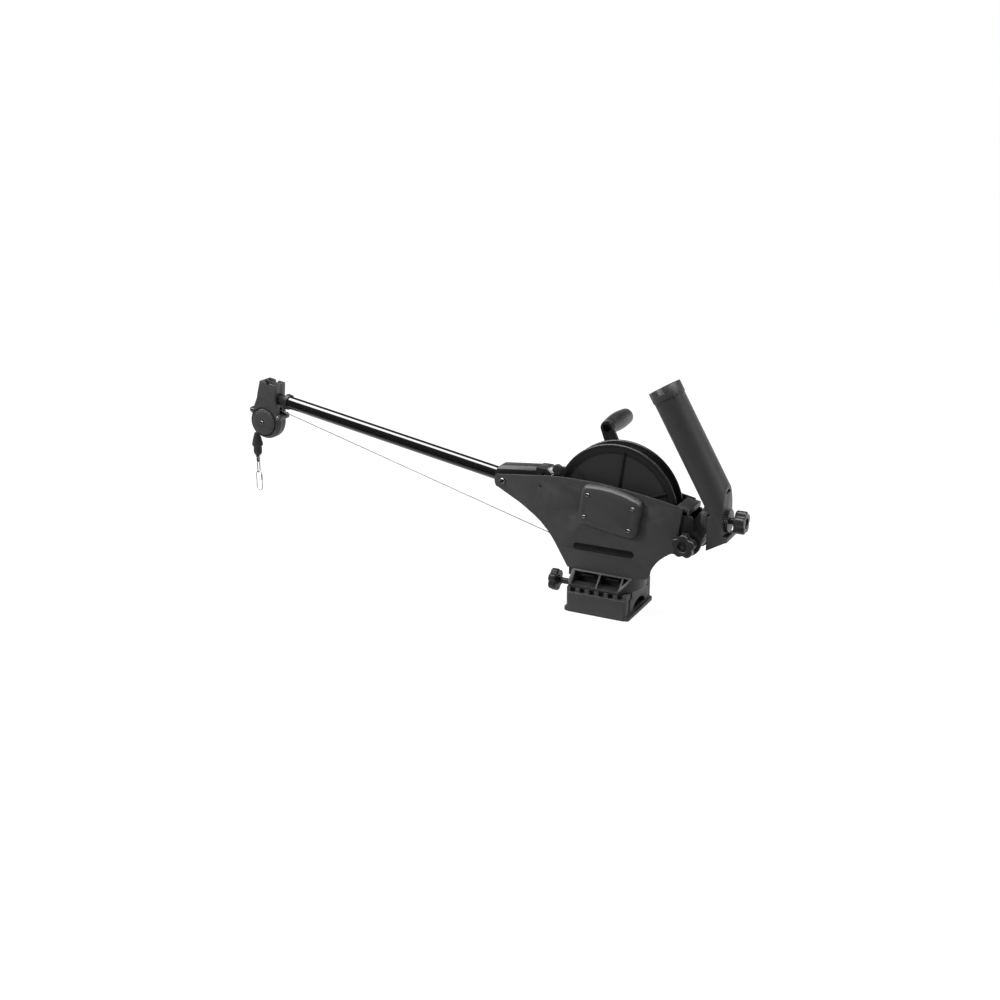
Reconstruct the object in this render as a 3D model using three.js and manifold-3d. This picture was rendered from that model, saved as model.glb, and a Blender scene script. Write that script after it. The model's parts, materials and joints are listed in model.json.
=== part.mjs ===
// A manual downrigger: a slide-in mounting base, a frame of two side plates around a cable reel,
// a tubular boom with a swivelling pulley head, a line counter, a crank and a two-way rod holder.
// Millimetres, +Z up, the boom towards -X, the crank on the +Y side.
// The origin is the centre of the mounting base's underside.

import * as THREE from 'three';
import * as BufferGeometryUtils from 'three/addons/utils/BufferGeometryUtils.js';
import Module from 'manifold-3d';

const wasm = await Module();
wasm.setup();

const quarterTurn = Math.PI / 2;
const fullTurn = Math.PI * 2;
const radians = THREE.MathUtils.degToRad;

// Clearances and the overrun that every cut has
const seat = 0.3;
const running = 0.4;
const overrun = 4;

const base = {
  frontReach: 60, rearReach: 51.5, width: 120, height: 36.4, floor: 9, corner: 6, endWall: 8,
  channelWidth: 88, channelCeiling: 34, throatWidth: 72, lipTop: 44.9, lipInset: 3,
  notchWidth: 9.5, notchPitch: 17.5, notchDepth: 8, notchCount: 6,
  skirtReach: 5, skirtHeight: 7, skirtWidth: 117,
  boltHoleRadius: 3.5, boltSpanX: 66, boltSpanY: 52,
};

const lock = {
  height: 30, knobFaceX: -100.3, knobRadius: 20, knobThickness: 14, studRadius: 5.5, studReach: 72.8,
  wallHoleRadius: 6.2, lobes: 6, lobeDepth: 3.2, dishRadius: 9, dishDepth: 3, edge: 1.6,
};

const foot = {
  frontX: -60, endX: 35.5, bulge: 25, flangeWidth: 112, flangeThickness: 3.5, flangeCorner: 8,
  pedestalTop: 70.7, topWidth: 66, topSlab: 3, coreWidth: 52, endWall: 5,
  ribThickness: 3.5, ribs: [-54.5, -6, 36], ledgeLength: 24, ledgeWidth: 8, ledgeHeight: 2.5,
  ledgeZ: 60, tongueRearX: 53, archWidth: 56, archHeight: 16, archFrontX: -15,
  neckTop: 98, frontNeck: [-69, -41], frontNeckLow: 56, rearNeck: [40, 54], reelClearance: 3.4,
};

// The reel stands above the foot; its x is the part's own
const reel = {
  x: 10.3, footGap: 5.4, flangeRadius: 111.3, halfWidth: 18, flangeInside: 11.2, discThickness: 2.8,
  rimWidth: 19.3, drumWall: 3, beadWidth: 6.3, rimSlope: 8, hubRadius: 22, hubReach: 24,
  rimRound: 4.6, boreClearance: 0.3, ribs: 6, firstRib: radians(-22), ribThickness: 4, ribProud: 3,
  ribRoot: 2, ribTip: 1, segments: 36,
};

const frame = {
  halfWidth: 33, plate: 4, bottomZ: 71, bottomFrontX: -70,
  bottomRearX: 66, flareX: 83.5, flareZ: 88, farBottomRearX: 50, farFlareX: 60, farFlareZ: 84,
  frontBendLower: [-92, 108], arcSteps: 6,
};

// The frame's upper outline: each point from the reel's rear edge, its axle or its front edge, and its axle's height
const outlineFromRear = { rearLow: [4.4, -57.4], rearTop: [15.4, 21.6], rearHandle: [-51.6, 36.1] };
const outlineFromAxle = { crest: [-70.3, 45.1], crestBackHandle: [-10.3, 44.4] };
const outlineFromFront = {
  noseTop: [-108, 30.1], noseTip: [-118.5, 20.6], noseLow: [-110, 6], frontBendUpper: [-64, -13.4],
  frontBendCorner: [-16.4, -35.2], crestFrontHandle: [-39, 41.6], crestRearHandle: [1, 46.1], bend: [-44, 0],
};

const cable = { radius: 0.6, windDepth: 14.3, loops: 10, edgeGap: 0.5, coreGap: 0.35, sides: 5, stepsPerLoop: 20 };

const axle = { radius: 6.35, nearEnd: -43.6, farEnd: 73, chamfer: 1 };

const bush = { barrelRadius: 9.7, flangeRadius: 15, flangeInside: 24.4, barrelEnd: 35.2 };

// Bolt and socket: x from the reel's front edge, z from its axle
const boom = {
  tilt: radians(10), boltX: -99.7, boltZ: 20.4, radius: 12.5, wall: 1.65, innerEnd: 65, outerEnd: 473,
};

const sleeve = {
  halfWidth: 16.4, innerTop: 50.6, innerBottom: -9.4, noseTop: 44, shoulder: 6, boreGap: 0.35,
};

const boomBolt = { shankRadius: 3.2, headRadius: 5, headHeight: 3, nutRadius: 6, nutHeight: 4.5 };

const endPlug = {
  plugLength: 20, collarRadius: 15, collarLength: 8.2, neckRadius: 10, neckLength: 18.2,
  spigotRadius: 6.5, capRadius: 10, capThickness: 3.5,
};

// The head's own places are measured from the pulley's centre across and from the boom's axis up
const head = {
  pulleyDrop: 49.3, radius: 34.4, midHalf: 7, faceRadius: 29.4, halfWidth: 15.5, ledge: 1.4,
  boxHalf: 18, boxBottomHalf: 21, boxTop: 29.5, ledgeDrop: 3.2, shoulderHalf: 28, shoulderDrop: 31, sideHalf: 27,
  cavityRadius: 32.2, cavityHalf: 5.7, ringInner: 25.6, ringOuter: 27.8, ringDepth: 2.5,
  pocketDepth: 8.5, pocketHalfX: 12.5, pocketReach: 11.8, pocketRib: 1.6, veeHalf: 4.5, veeDepth: 8,
  lugRadius: 6.3, outerLugX: 28.9, innerLugX: 30.4, lugZ: 16.6, slotHalf: 3.2, mouthTop: 16, mouthBottom: 28,
};

const pulley = { radius: 31.4, groove: 28.8, halfWidth: 5, lip: 1.2, grooveHalf: 0.9, boltRadius: 4 };

const cover = { radius: 25.2, thickness: 5.2, rimThickness: 2.2, boltHeadRadius: 3.6, boltHeadHeight: 2.2 };

const screw = { headRadius: 3.4, headHeight: 2, shankRadius: 1.6, crown: 0.7 };

const axleCover = {
  x: -0.8, z: -1.3, tilt: radians(9), halfX: 48, halfZ: 28.5, arch: 4.5, corner: 7, frontY: 47,
  slopeReach: 8, slopeDepth: 11.5, cavityX: 35, cavityZ: 24, wall: 3, screwX: 41.3, screwZ: 20,
};

const ratchet = { radius: 20, rootRadius: 16.5, teeth: 12, nearY: -41.5, farY: -36.2 };

const pawl = {
  pivotX: -30.8, pivotZ: -2.9, pinRadius: 2, pinEnd: -43.4, hubRadius: 4.2, tipWidth: 3.5,
  tipAngle: radians(140), tipGap: 0.5, nearY: -41, farY: -36.7,
};

const badge = { x: -3.2, z: 112.4, length: 111, height: 12, recess: 1.6, thickness: 1.1, gap: 0.3 };

const tie = { x: -22, z: 23.6, radius: 4.5, holeRadius: 1.8 };

const counter = {
  x: -23.5, z: 40.8, wheelRadius: 8.6, digitWidth: 5, digitGap: 0.6, frontX: -37.5, rearX: -9.6,
  bottomZ: 28.8, topZ: 51.6, nearY: -19, farY: 13, wall: 1.8, shaftRadius: 2, windowBevel: 9,
  driveX: 2.3, driveY: -18.3, driveWidth: 6.9, driveRadius: 9.2, armInner: -6.6, armThickness: 3.9,
  armHalf: 4.8, driveShaftRadius: 2,
};

const bridge = {
  frontX: 1.9, rearX: 25.4, thickness: 4, drop: 1.2, slope: 0.19, reelClearance: 2.7, lipHeight: 9,
};

// x from the reel's rear edge, z from its axle
const rodBracket = {
  x: 23.9, z: -38.6, earRadius: 23, earThickness: 6, wallTop: -58.4, wallBottom: -62.4, frontX: -15.6,
  cheekTop: 8.4, cheekRearX: 33, wallRearX: 16.9,
};

const elbow = {
  barrelRadius: 20, barrelHalf: 22.1, boltRadius: 4, collarRadius: 5.5, armHalf: 13, armFrontReach: 7,
  armFrontRise: 18, armBackReach: 9, armBackDrop: 17, padRadius: 20, padThickness: 11, padRound: 3,
};

// The tube leans from the swing bolt's middle, which lies x behind the reel's rear edge and z above its axle
const rod = {
  x: 86, z: 1.6, tilt: radians(-30), radius: 27, boreRadius: 23, top: 246.5, bottom: -29, boreFloor: 44,
  collarRadius: 28.3, collarLength: 20, notchWidth: 13, notchDepth: 9, heelFront: 32.6, heelHalf: 20,
  heelTop: 8, heelBottom: -52, knobSeat: -4.6, knobSeatHalf: 23.5, backReach: 4.4, washerRadius: 19.5,
  washerThickness: 6, padRoom: 2.2,
};

const tiltKnob = {
  radius: 20.5, thickness: 17, faceY: -35.5, lobes: 5, lobeDepth: 4, edge: 2, dishRadius: 9, dishDepth: 4, seatReach: 1,
};

const swingKnob = {
  radius: 19.8, thickness: 19, faceX: 10.3, lobes: 5, lobeDepth: 4, edge: 2, dishRadius: 9, dishDepth: 4, seatReach: 1,
};

const crank = {
  gripX: -49.4, gripZ: 117.1, armNear: 54.5, armFar: 61, hubRadius: 18, endRadius: 11.3, recess: 1.6,
  recessWall: 2.4, hubStart: 44.8, hubEnd: 64, nutEnd: 70.5, nutRadius: 10, clutchRadius: 34,
  clutchNear: 35.7, clutchFar: 41.1, padRadius: 31, padInner: 12, padFar: 44.4,
};

const grip = {
  start: 61.6, length: 88, rootRadius: 12.5, bellyRadius: 16.3, tipRadius: 14.4, boltRadius: 4,
  boltHeadRadius: 6, boltHeadHeight: 2, boltEnd: 139, rootChamfer: 1, shareSteps: 8,
};

const drop = { bumperTop: 221.4, mouthReach: 30.2 };

const bumper = {
  bottom: 176.8, topRadius: 4.6, shoulderZ: 211, shoulderRadius: 7.8, bellyZ: 197.4, bellyRadius: 10.9,
  waistZ: 192.5, collarRadius: 8.2, boreRadius: 1.1, socketRadius: 4.6, socketTop: 190, round: 2.6,
};

const crimp = { radius: 4, bottom: 171.4, top: 189.4, mouthRadius: 5, stemHole: 1.9, stemHoleTop: 180, round: 1 };

const swivel = {
  stemRadius: 1.5, stemTop: 178, barrelTop: 171, barrelBottom: 161.5, barrelRadius: 3.8,
  eyeRadius: 3.4, eyeWire: 1, eyeHalf: 7.4, round: 1.2,
};

const snap = { radius: 6.3, wire: 0.95, half: 13, claspRadius: 1.7, claspLength: 11 };

const finish = {
  mattePlastic: { color: 0x3a3b3c, roughness: 0.62, metalness: 0 },
  ribbedPlastic: { color: 0x303132, roughness: 0.7, metalness: 0 },
  glossBlack: { color: 0x0b0b0c, roughness: 0.12, metalness: 0.2 },
  knobPlastic: { color: 0x343536, roughness: 0.5, metalness: 0 },
  brightSteel: { color: 0xc9c9c9, roughness: 0.22, metalness: 1 },
  darkSteel: { color: 0x77797c, roughness: 0.35, metalness: 1 },
  rubber: { color: 0x1f2021, roughness: 0.75, metalness: 0 },
  cableSteel: { color: 0xd6d6d2, roughness: 0.4, metalness: 0.7 },
  friction: { color: 0x5b4a36, roughness: 0.9, metalness: 0 },
  digits: { color: 0xe8e8e4, roughness: 0.5, metalness: 0 },
  clear: { color: 0xdfe6ea, roughness: 0.1, metalness: 0 },
};

// The reel's height and depths, and the places that follow it
reel.z = foot.pedestalTop + reel.footGap + reel.flangeRadius;
reel.rimInner = reel.flangeRadius - reel.rimWidth;
reel.drumInner = reel.rimInner - reel.drumWall;
reel.recessRadius = reel.flangeRadius - reel.beadWidth - reel.rimSlope;
reel.discOutside = reel.flangeInside + reel.discThickness;
cable.windRadius = reel.flangeRadius - cable.windDepth;
const reelRear = reel.x + reel.flangeRadius;
const reelFront = reel.x - reel.flangeRadius;

function follow(piece, x, across, up) {
  for (const name of across) piece[name] += x;
  for (const name of up) piece[name] += reel.z;
}

follow(boom, reelFront, ['boltX'], ['boltZ']);
follow(sleeve, reelFront, [], ['innerTop', 'innerBottom', 'noseTop']);
follow(tie, reelFront, ['x'], ['z']);
follow(counter, reelFront, ['x', 'frontX', 'rearX', 'driveX'], ['z', 'bottomZ', 'topZ']);
follow(axleCover, reel.x, ['x'], ['z']);
follow(pawl, reel.x, ['pivotX'], ['pivotZ']);
follow(crank, reel.x, ['gripX'], ['gripZ']);
follow(bridge, reelRear, ['frontX', 'rearX'], []);
follow(rodBracket, reelRear, ['x', 'frontX', 'cheekRearX', 'wallRearX'], ['z', 'wallTop', 'wallBottom', 'cheekTop']);
follow(rod, reelRear, ['x'], ['z']);

const outlineGroups = [[outlineFromRear, reelRear], [outlineFromAxle, reel.x], [outlineFromFront, reelFront]];
for (const [points, fromX] of outlineGroups) {
  for (const [name, [x, z]] of Object.entries(points)) frame[name] = [fromX + x, reel.z + z];
}
frame.bendX = frame.bend[0];

// The end plug's neck reaches the head's box, and its spigot goes through to the cap
endPlug.neckEnd = boom.outerEnd + seat + endPlug.collarLength + endPlug.neckLength;
endPlug.spigotLength = 2 * head.boxHalf - endPlug.capThickness;
head.pulleyU = endPlug.neckEnd + seat + head.boxHalf;

// Geometry helpers

function weld(geometry) {
  const bare = geometry.clone();
  bare.deleteAttribute('normal');
  bare.deleteAttribute('uv');
  const merged = BufferGeometryUtils.mergeVertices(bare);
  const corners = merged.index.array;
  const kept = [];
  for (let i = 0; i < corners.length; i += 3) {
    const [a, b, c] = [corners[i], corners[i + 1], corners[i + 2]];
    if (a !== b && b !== c && c !== a) kept.push(a, b, c);
  }
  if (signedVolume(merged.attributes.position, kept) < 0) {
    for (let i = 0; i < kept.length; i += 3) [kept[i], kept[i + 1]] = [kept[i + 1], kept[i]];
  }
  const welded = new THREE.BufferGeometry();
  welded.setAttribute('position', merged.attributes.position);
  welded.setIndex(kept);
  return welded;
}

function signedVolume(position, corners) {
  const [a, b, c] = [new THREE.Vector3(), new THREE.Vector3(), new THREE.Vector3()];
  let sum = 0;
  for (let i = 0; i < corners.length; i += 3) {
    a.fromBufferAttribute(position, corners[i]);
    b.fromBufferAttribute(position, corners[i + 1]);
    c.fromBufferAttribute(position, corners[i + 2]);
    sum += a.dot(b.cross(c));
  }
  return sum;
}

function toSolid(geometry) {
  const welded = weld(geometry);
  return new wasm.Manifold(new wasm.Mesh({
    numProp: 3,
    vertProperties: new Float32Array(welded.attributes.position.array),
    triVerts: new Uint32Array(welded.index.array),
  }));
}

function toGeometry(solid) {
  const { vertProperties, triVerts } = solid.getMesh();
  const geometry = new THREE.BufferGeometry();
  geometry.setAttribute('position', new THREE.BufferAttribute(new Float32Array(vertProperties), 3));
  geometry.setIndex(new THREE.BufferAttribute(new Uint32Array(triVerts), 1));
  return geometry;
}

function combine(method, first, others) {
  return toGeometry(others.reduce((sum, next) => sum[method](toSolid(next)), toSolid(first)));
}

const join = (first, ...others) => combine('add', first, others);
const cut = (first, ...tools) => combine('subtract', first, tools);
const common = (first, ...others) => combine('intersect', first, others);

// A box between two corners
function block([x0, x1], [y0, y1], [z0, z1]) {
  const box = new THREE.BoxGeometry(x1 - x0, y1 - y0, z1 - z0);
  return box.translate((x0 + x1) / 2, (y0 + y1) / 2, (z0 + z1) / 2);
}

// Round bars along Y, X and Z, from one end to the other
function barY(radius, [from, to], x = 0, z = 0, sides = 20) {
  const bar = new THREE.CylinderGeometry(radius, radius, to - from, sides);
  return bar.translate(x, (from + to) / 2, z);
}

function barX(radius, [from, to], y = 0, z = 0, sides = 24) {
  const bar = new THREE.CylinderGeometry(radius, radius, to - from, sides);
  return bar.rotateZ(quarterTurn).translate((from + to) / 2, y, z);
}

function barZ(radius, [from, to], x = 0, y = 0, sides = 24) {
  const bar = new THREE.CylinderGeometry(radius, radius, to - from, sides);
  return bar.rotateX(quarterTurn).translate(x, y, (from + to) / 2);
}

// A closed profile of [radius, height] turned about Y
function turned(profile, sides = 24) {
  const points = profile.map(([r, y]) => new THREE.Vector2(r, y));
  const onAxis = profile[0][0] === 0 && profile[profile.length - 1][0] === 0;
  if (!onAxis) points.push(points[0].clone());
  return new THREE.LatheGeometry(points, sides);
}

const turnedZ = (profile, sides) => turned(profile, sides).rotateX(quarterTurn);

function outline(points) {
  return new THREE.Shape(points.map(([a, b]) => new THREE.Vector2(a, b)));
}

const mirrored = (points) => outline([...points, ...points.map(([a, b]) => [-a, b]).reverse()]);

function roundedRectangle(halfA, halfB, corner, centreA = 0, centreB = 0) {
  const shape = new THREE.Shape();
  const corners = [[1, 1, 0], [-1, 1, 1], [-1, -1, 2], [1, -1, 3]];
  for (const [signA, signB, quarter] of corners) {
    const a = centreA + signA * (halfA - corner);
    const b = centreB + signB * (halfB - corner);
    shape.absarc(a, b, corner, quarter * quarterTurn, (quarter + 1) * quarterTurn, false);
  }
  return shape;
}

// Outlines drawn in XZ, YZ and XY, given thickness along Y, X and Z
function slabY(shape, [from, to], curveSegments = 6) {
  const slab = new THREE.ExtrudeGeometry(shape, { depth: to - from, bevelEnabled: false, curveSegments });
  return slab.rotateX(quarterTurn).translate(0, to, 0);
}

function slabX(shape, [from, to], curveSegments = 6) {
  const slab = new THREE.ExtrudeGeometry(shape, { depth: to - from, bevelEnabled: false, curveSegments });
  const turn = new THREE.Matrix4().makeBasis(
    new THREE.Vector3(0, 1, 0), new THREE.Vector3(0, 0, 1), new THREE.Vector3(1, 0, 0));
  return slab.applyMatrix4(turn).translate(from, 0, 0);
}

function slabZ(shape, [from, to], curveSegments = 6) {
  const slab = new THREE.ExtrudeGeometry(shape, { depth: to - from, bevelEnabled: false, curveSegments });
  return slab.translate(0, 0, from);
}

// A round wire along a curve
function wireAlong(curve, radius, steps, sides = 8) {
  const section = new THREE.Shape();
  for (let i = 0; i < sides; i += 1) {
    const angle = (i / sides) * fullTurn;
    const point = [radius * Math.cos(angle), radius * Math.sin(angle)];
    if (i === 0) section.moveTo(...point);
    else section.lineTo(...point);
  }
  return new THREE.ExtrudeGeometry(section, { steps, bevelEnabled: false, extrudePath: curve });
}

// A ring of wire drawn out along Z by half on each side, in the XZ plane
function longLink(radius, wire, half) {
  const ring = new THREE.TorusGeometry(radius, wire, 6, 20).rotateX(quarterTurn).rotateY(radians(9));
  const position = ring.attributes.position;
  for (let i = 0; i < position.count; i += 1) {
    position.setZ(i, position.getZ(i) + Math.sign(position.getZ(i)) * half);
  }
  return ring;
}

// A lobed hand knob with its stud: the knob from 0 up along Z, the stud below
function handKnob(size, studRadius, studLength) {
  const shape = new THREE.Shape();
  const steps = size.lobes * 6;
  for (let i = 0; i < steps; i += 1) {
    const angle = (i / steps) * fullTurn;
    const wave = (1 - Math.cos(size.lobes * angle)) / 2;
    const r = size.radius - size.edge - size.lobeDepth * wave ** 2;
    const point = [r * Math.cos(angle), r * Math.sin(angle)];
    if (i === 0) shape.moveTo(...point);
    else shape.lineTo(...point);
  }
  const knob = new THREE.ExtrudeGeometry(shape, {
    depth: size.thickness - 2 * size.edge, bevelThickness: size.edge, bevelSize: size.edge, bevelSegments: 1,
  }).translate(0, 0, size.edge);
  const stud = barZ(studRadius, [-studLength, size.thickness / 2], 0, 0, 12);
  const dish = barZ(size.dishRadius, [size.thickness - size.dishDepth, size.thickness + overrun], 0, 0, 14);
  return cut(join(knob, stud), dish);
}

// A pan-head screw from its seat at 0: the head towards -Y, the shank towards +Y
function panScrew(headRadius, headHeight, shankRadius, length, crown) {
  return turned([
    [0, -headHeight], [headRadius - crown, -headHeight], [headRadius, crown - headHeight],
    [headRadius, 0], [shankRadius, 0], [shankRadius, length], [0, length],
  ], 10);
}

const downrigger = new THREE.Group();

function addPiece(name, geometry, look, parent = downrigger) {
  const mesh = new THREE.Mesh(weld(geometry), new THREE.MeshStandardMaterial(look));
  mesh.name = name;
  mesh.geometry.computeVertexNormals();
  parent.add(mesh);
}

// Groups with their own axes: the boom and its head, the axle cover, and the rod tube
const boomGroup = new THREE.Group();
boomGroup.position.set(boom.boltX, 0, boom.boltZ);
boomGroup.rotation.y = boom.tilt;
const coverGroup = new THREE.Group();
coverGroup.position.set(axleCover.x, 0, axleCover.z);
coverGroup.rotation.y = axleCover.tilt;
const rodGroup = new THREE.Group();
rodGroup.position.set(rod.x, 0, rod.z);
rodGroup.rotation.y = rod.tilt;
downrigger.add(boomGroup, coverGroup, rodGroup);

// A point of the boom's own axes in the part's frame, u outwards along the boom and v up from it
function fromBoom(u, v) {
  const sine = Math.sin(boom.tilt);
  const cosine = Math.cos(boom.tilt);
  return [boom.boltX - u * cosine + v * sine, boom.boltZ + u * sine + v * cosine];
}

// Mounting base, bolted down through its floor

function makeBase() {
  const half = base.width / 2;
  const lip = half - base.lipInset;
  const throat = base.throatWidth / 2;
  const channel = base.channelWidth / 2;
  const ends = [-base.frontReach, base.rearReach];
  const halfLength = (base.frontReach + base.rearReach) / 2;
  const middle = (base.rearReach - base.frontReach) / 2;
  const frontInside = base.endWall - base.frontReach;
  const profile = mirrored([
    [half, 0], [half, base.height], [lip, base.height], [lip, base.lipTop], [throat, base.lipTop],
    [throat, base.channelCeiling], [channel, base.channelCeiling], [channel, base.floor],
  ]);
  const corners = slabZ(roundedRectangle(halfLength, half, base.corner, middle), [-overrun, base.lipTop + overrun], 3);
  const endWall = block([-base.frontReach, frontInside], [-lip, lip], [0, base.lipTop]);
  const body = common(join(slabX(profile, ends), endWall), corners);
  const skirtPlan = roundedRectangle(halfLength + base.skirtReach, base.skirtWidth / 2, base.corner, middle);
  const skirt = slabZ(skirtPlan, [0, base.skirtHeight], 3);
  const cuts = [barX(lock.wallHoleRadius, [ends[0] - overrun, frontInside + overrun], 0, lock.height, 16)];
  for (let i = 0; i < base.notchCount; i += 1) {
    const x = middle + (i - (base.notchCount - 1) / 2) * base.notchPitch;
    const notchX = [x - base.notchWidth / 2, x + base.notchWidth / 2];
    const notchZ = [base.height, base.lipTop + overrun];
    cuts.push(block(notchX, [-lip - overrun, base.notchDepth - lip], notchZ));
    cuts.push(block(notchX, [lip - base.notchDepth, lip + overrun], notchZ));
  }
  for (const x of [-base.boltSpanX / 2, base.boltSpanX / 2]) {
    for (const y of [-base.boltSpanY / 2, base.boltSpanY / 2]) {
      cuts.push(barZ(base.boltHoleRadius, [-overrun, base.floor + overrun], x, y, 10));
    }
  }
  const floor = block(ends, [-channel - seat, channel + seat], [0, base.floor]);
  return cut(join(body, skirt, floor), ...cuts);
}

// Knob that locks the frame in the base

function makeLockKnob() {
  const knob = handKnob({
    radius: lock.knobRadius, thickness: lock.knobThickness, edge: lock.edge, lobes: lock.lobes,
    lobeDepth: lock.lobeDepth, dishRadius: lock.dishRadius, dishDepth: lock.dishDepth,
  }, lock.studRadius, lock.studReach);
  return knob.rotateY(-quarterTurn).translate(lock.knobFaceX, 0, lock.height);
}

// Frame foot: a tongue that slides in the base, a flange and a ribbed pedestal

function footPlan(inset) {
  const half = foot.flangeWidth / 2 - inset;
  const centreX = foot.endX + foot.bulge - endRadius();
  const radius = endRadius() - inset;
  const angle = Math.asin(half / radius);
  const shape = new THREE.Shape();
  shape.moveTo(foot.frontX + inset + foot.flangeCorner, -half);
  shape.lineTo(centreX + radius * Math.cos(angle), -half);
  shape.absarc(centreX, 0, radius, -angle, angle, false);
  shape.lineTo(foot.frontX + inset + foot.flangeCorner, half);
  shape.quadraticCurveTo(foot.frontX + inset, half, foot.frontX + inset, half - foot.flangeCorner);
  shape.lineTo(foot.frontX + inset, foot.flangeCorner - half);
  shape.quadraticCurveTo(foot.frontX + inset, -half, foot.frontX + inset + foot.flangeCorner, -half);
  return shape;
}

function endRadius() {
  const half = foot.flangeWidth / 2;
  return (half ** 2 + foot.bulge ** 2) / (2 * foot.bulge);
}

function makeFoot() {
  const flangeBottom = base.lipTop + seat;
  const flangeTop = flangeBottom + foot.flangeThickness;
  const half = foot.flangeWidth / 2;
  const topHalf = foot.topWidth / 2;
  const coreHalf = foot.coreWidth / 2;
  const flange = slabZ(footPlan(0), [flangeBottom, flangeTop], 6);
  const slope = slabX(outline([
    [-half, flangeBottom], [half, flangeBottom], [half, flangeTop],
    [topHalf, foot.pedestalTop], [-topHalf, foot.pedestalTop], [-half, flangeTop],
  ]), [foot.frontX, foot.endX + foot.bulge]);
  const pedestal = common(slabZ(footPlan(0), [flangeBottom, foot.pedestalTop], 6), slope);
  const pocketZ = [flangeTop, foot.pedestalTop - foot.topSlab];
  const inner = slabZ(footPlan(foot.endWall), pocketZ, 6);
  const pockets = [];
  const ledges = [];
  const edges = [...foot.ribs, foot.endX + foot.bulge + foot.ribThickness];
  for (const side of [-1, 1]) {
    const y = side < 0 ? [-half - overrun, -coreHalf] : [coreHalf, half + overrun];
    edges.slice(0, -1).forEach((rib, i) => {
      const x = [rib + foot.ribThickness / 2, edges[i + 1] - foot.ribThickness / 2];
      const last = i === edges.length - 2;
      pockets.push(last ? common(block(x, y, pocketZ), inner) : block(x, y, pocketZ));
      const middle = (x[0] + x[1]) / 2;
      const ledgeY = side < 0 ? [-coreHalf - foot.ledgeWidth, seat - coreHalf] : [coreHalf - seat, coreHalf + foot.ledgeWidth];
      if (!last) {
        ledges.push(block([middle - foot.ledgeLength / 2, middle + foot.ledgeLength / 2], ledgeY,
          [foot.ledgeZ, foot.ledgeZ + foot.ledgeHeight]));
      }
    });
  }
  const throat = base.throatWidth / 2 - running;
  const channel = base.channelWidth / 2 - running;
  const shoulder = base.channelCeiling - running;
  const tongueFrontX = base.endWall - base.frontReach + running;
  const tongue = slabX(mirrored([
    [throat, flangeBottom + foot.flangeThickness / 2], [throat, shoulder],
    [channel, shoulder], [channel, base.floor + running],
  ]), [tongueFrontX, foot.tongueRearX]);
  const arch = new THREE.Shape();
  const archFoot = base.floor - overrun;
  arch.moveTo(-foot.archWidth / 2, archFoot);
  arch.lineTo(foot.archWidth / 2, archFoot);
  arch.absellipse(0, base.floor, foot.archWidth / 2, foot.archHeight, 0, Math.PI, false);
  const archCut = slabX(arch, [foot.archFrontX, foot.tongueRearX + overrun], 8);
  const plateInside = frame.halfWidth - frame.plate - seat;
  const necks = [[foot.frontNeck, foot.frontNeckLow], [foot.rearNeck, foot.pedestalTop - foot.topSlab]]
    .map(([x, low]) => block(x, [-plateInside, plateInside], [low, foot.neckTop]));
  const clear = reel.flangeRadius + foot.reelClearance;
  const reelRoom = barY(clear, [-frame.halfWidth, frame.halfWidth], reel.x, reel.z, 48);
  const studHole = barX(lock.studRadius + running, [tongueFrontX - overrun, lock.knobFaceX + lock.studReach + overrun],
    0, lock.height, 16);
  const body = cut(join(flange, pedestal), ...pockets);
  return cut(join(body, tongue, ...ledges, ...necks), archCut, reelRoom, studHole);
}

// Side plates: one outline for both, bent inwards towards the nose

// The far plate's rear corner is cut back further, clear of the lever on the mounting base
function plateOutline(side) {
  const f = frame;
  const near = side < 0;
  const flareX = near ? f.flareX : f.farFlareX;
  const flareZ = near ? f.flareZ : f.farFlareZ;
  const shape = new THREE.Shape();
  shape.moveTo(f.bottomFrontX, f.bottomZ);
  shape.lineTo(...f.frontBendLower);
  shape.quadraticCurveTo(...f.frontBendCorner, ...f.frontBendUpper);
  shape.lineTo(...f.noseLow);
  shape.quadraticCurveTo(f.noseTip[0], f.noseLow[1], ...f.noseTip);
  shape.quadraticCurveTo(f.noseTip[0], f.noseTop[1], ...f.noseTop);
  shape.bezierCurveTo(...f.crestFrontHandle, ...f.crestRearHandle, ...f.crest);
  shape.bezierCurveTo(...f.crestBackHandle, ...f.rearHandle, ...f.rearTop);
  shape.lineTo(...f.rearLow);
  shape.quadraticCurveTo(flareX + (f.rearLow[0] - flareX) / 4, flareZ + (f.rearLow[1] - flareZ) * 0.62,
    flareX, flareZ);
  shape.quadraticCurveTo(flareX, f.bottomZ, near ? f.bottomRearX : f.farBottomRearX, f.bottomZ);
  shape.closePath();
  return shape;
}

// The nose leans in until it lies against the boom socket
function plateInwards(x) {
  const room = frame.halfWidth - frame.plate - sleeve.halfWidth - seat;
  return Math.max(frame.bendX - x, 0) * room / (frame.bendX - frame.noseTip[0]);
}

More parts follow.
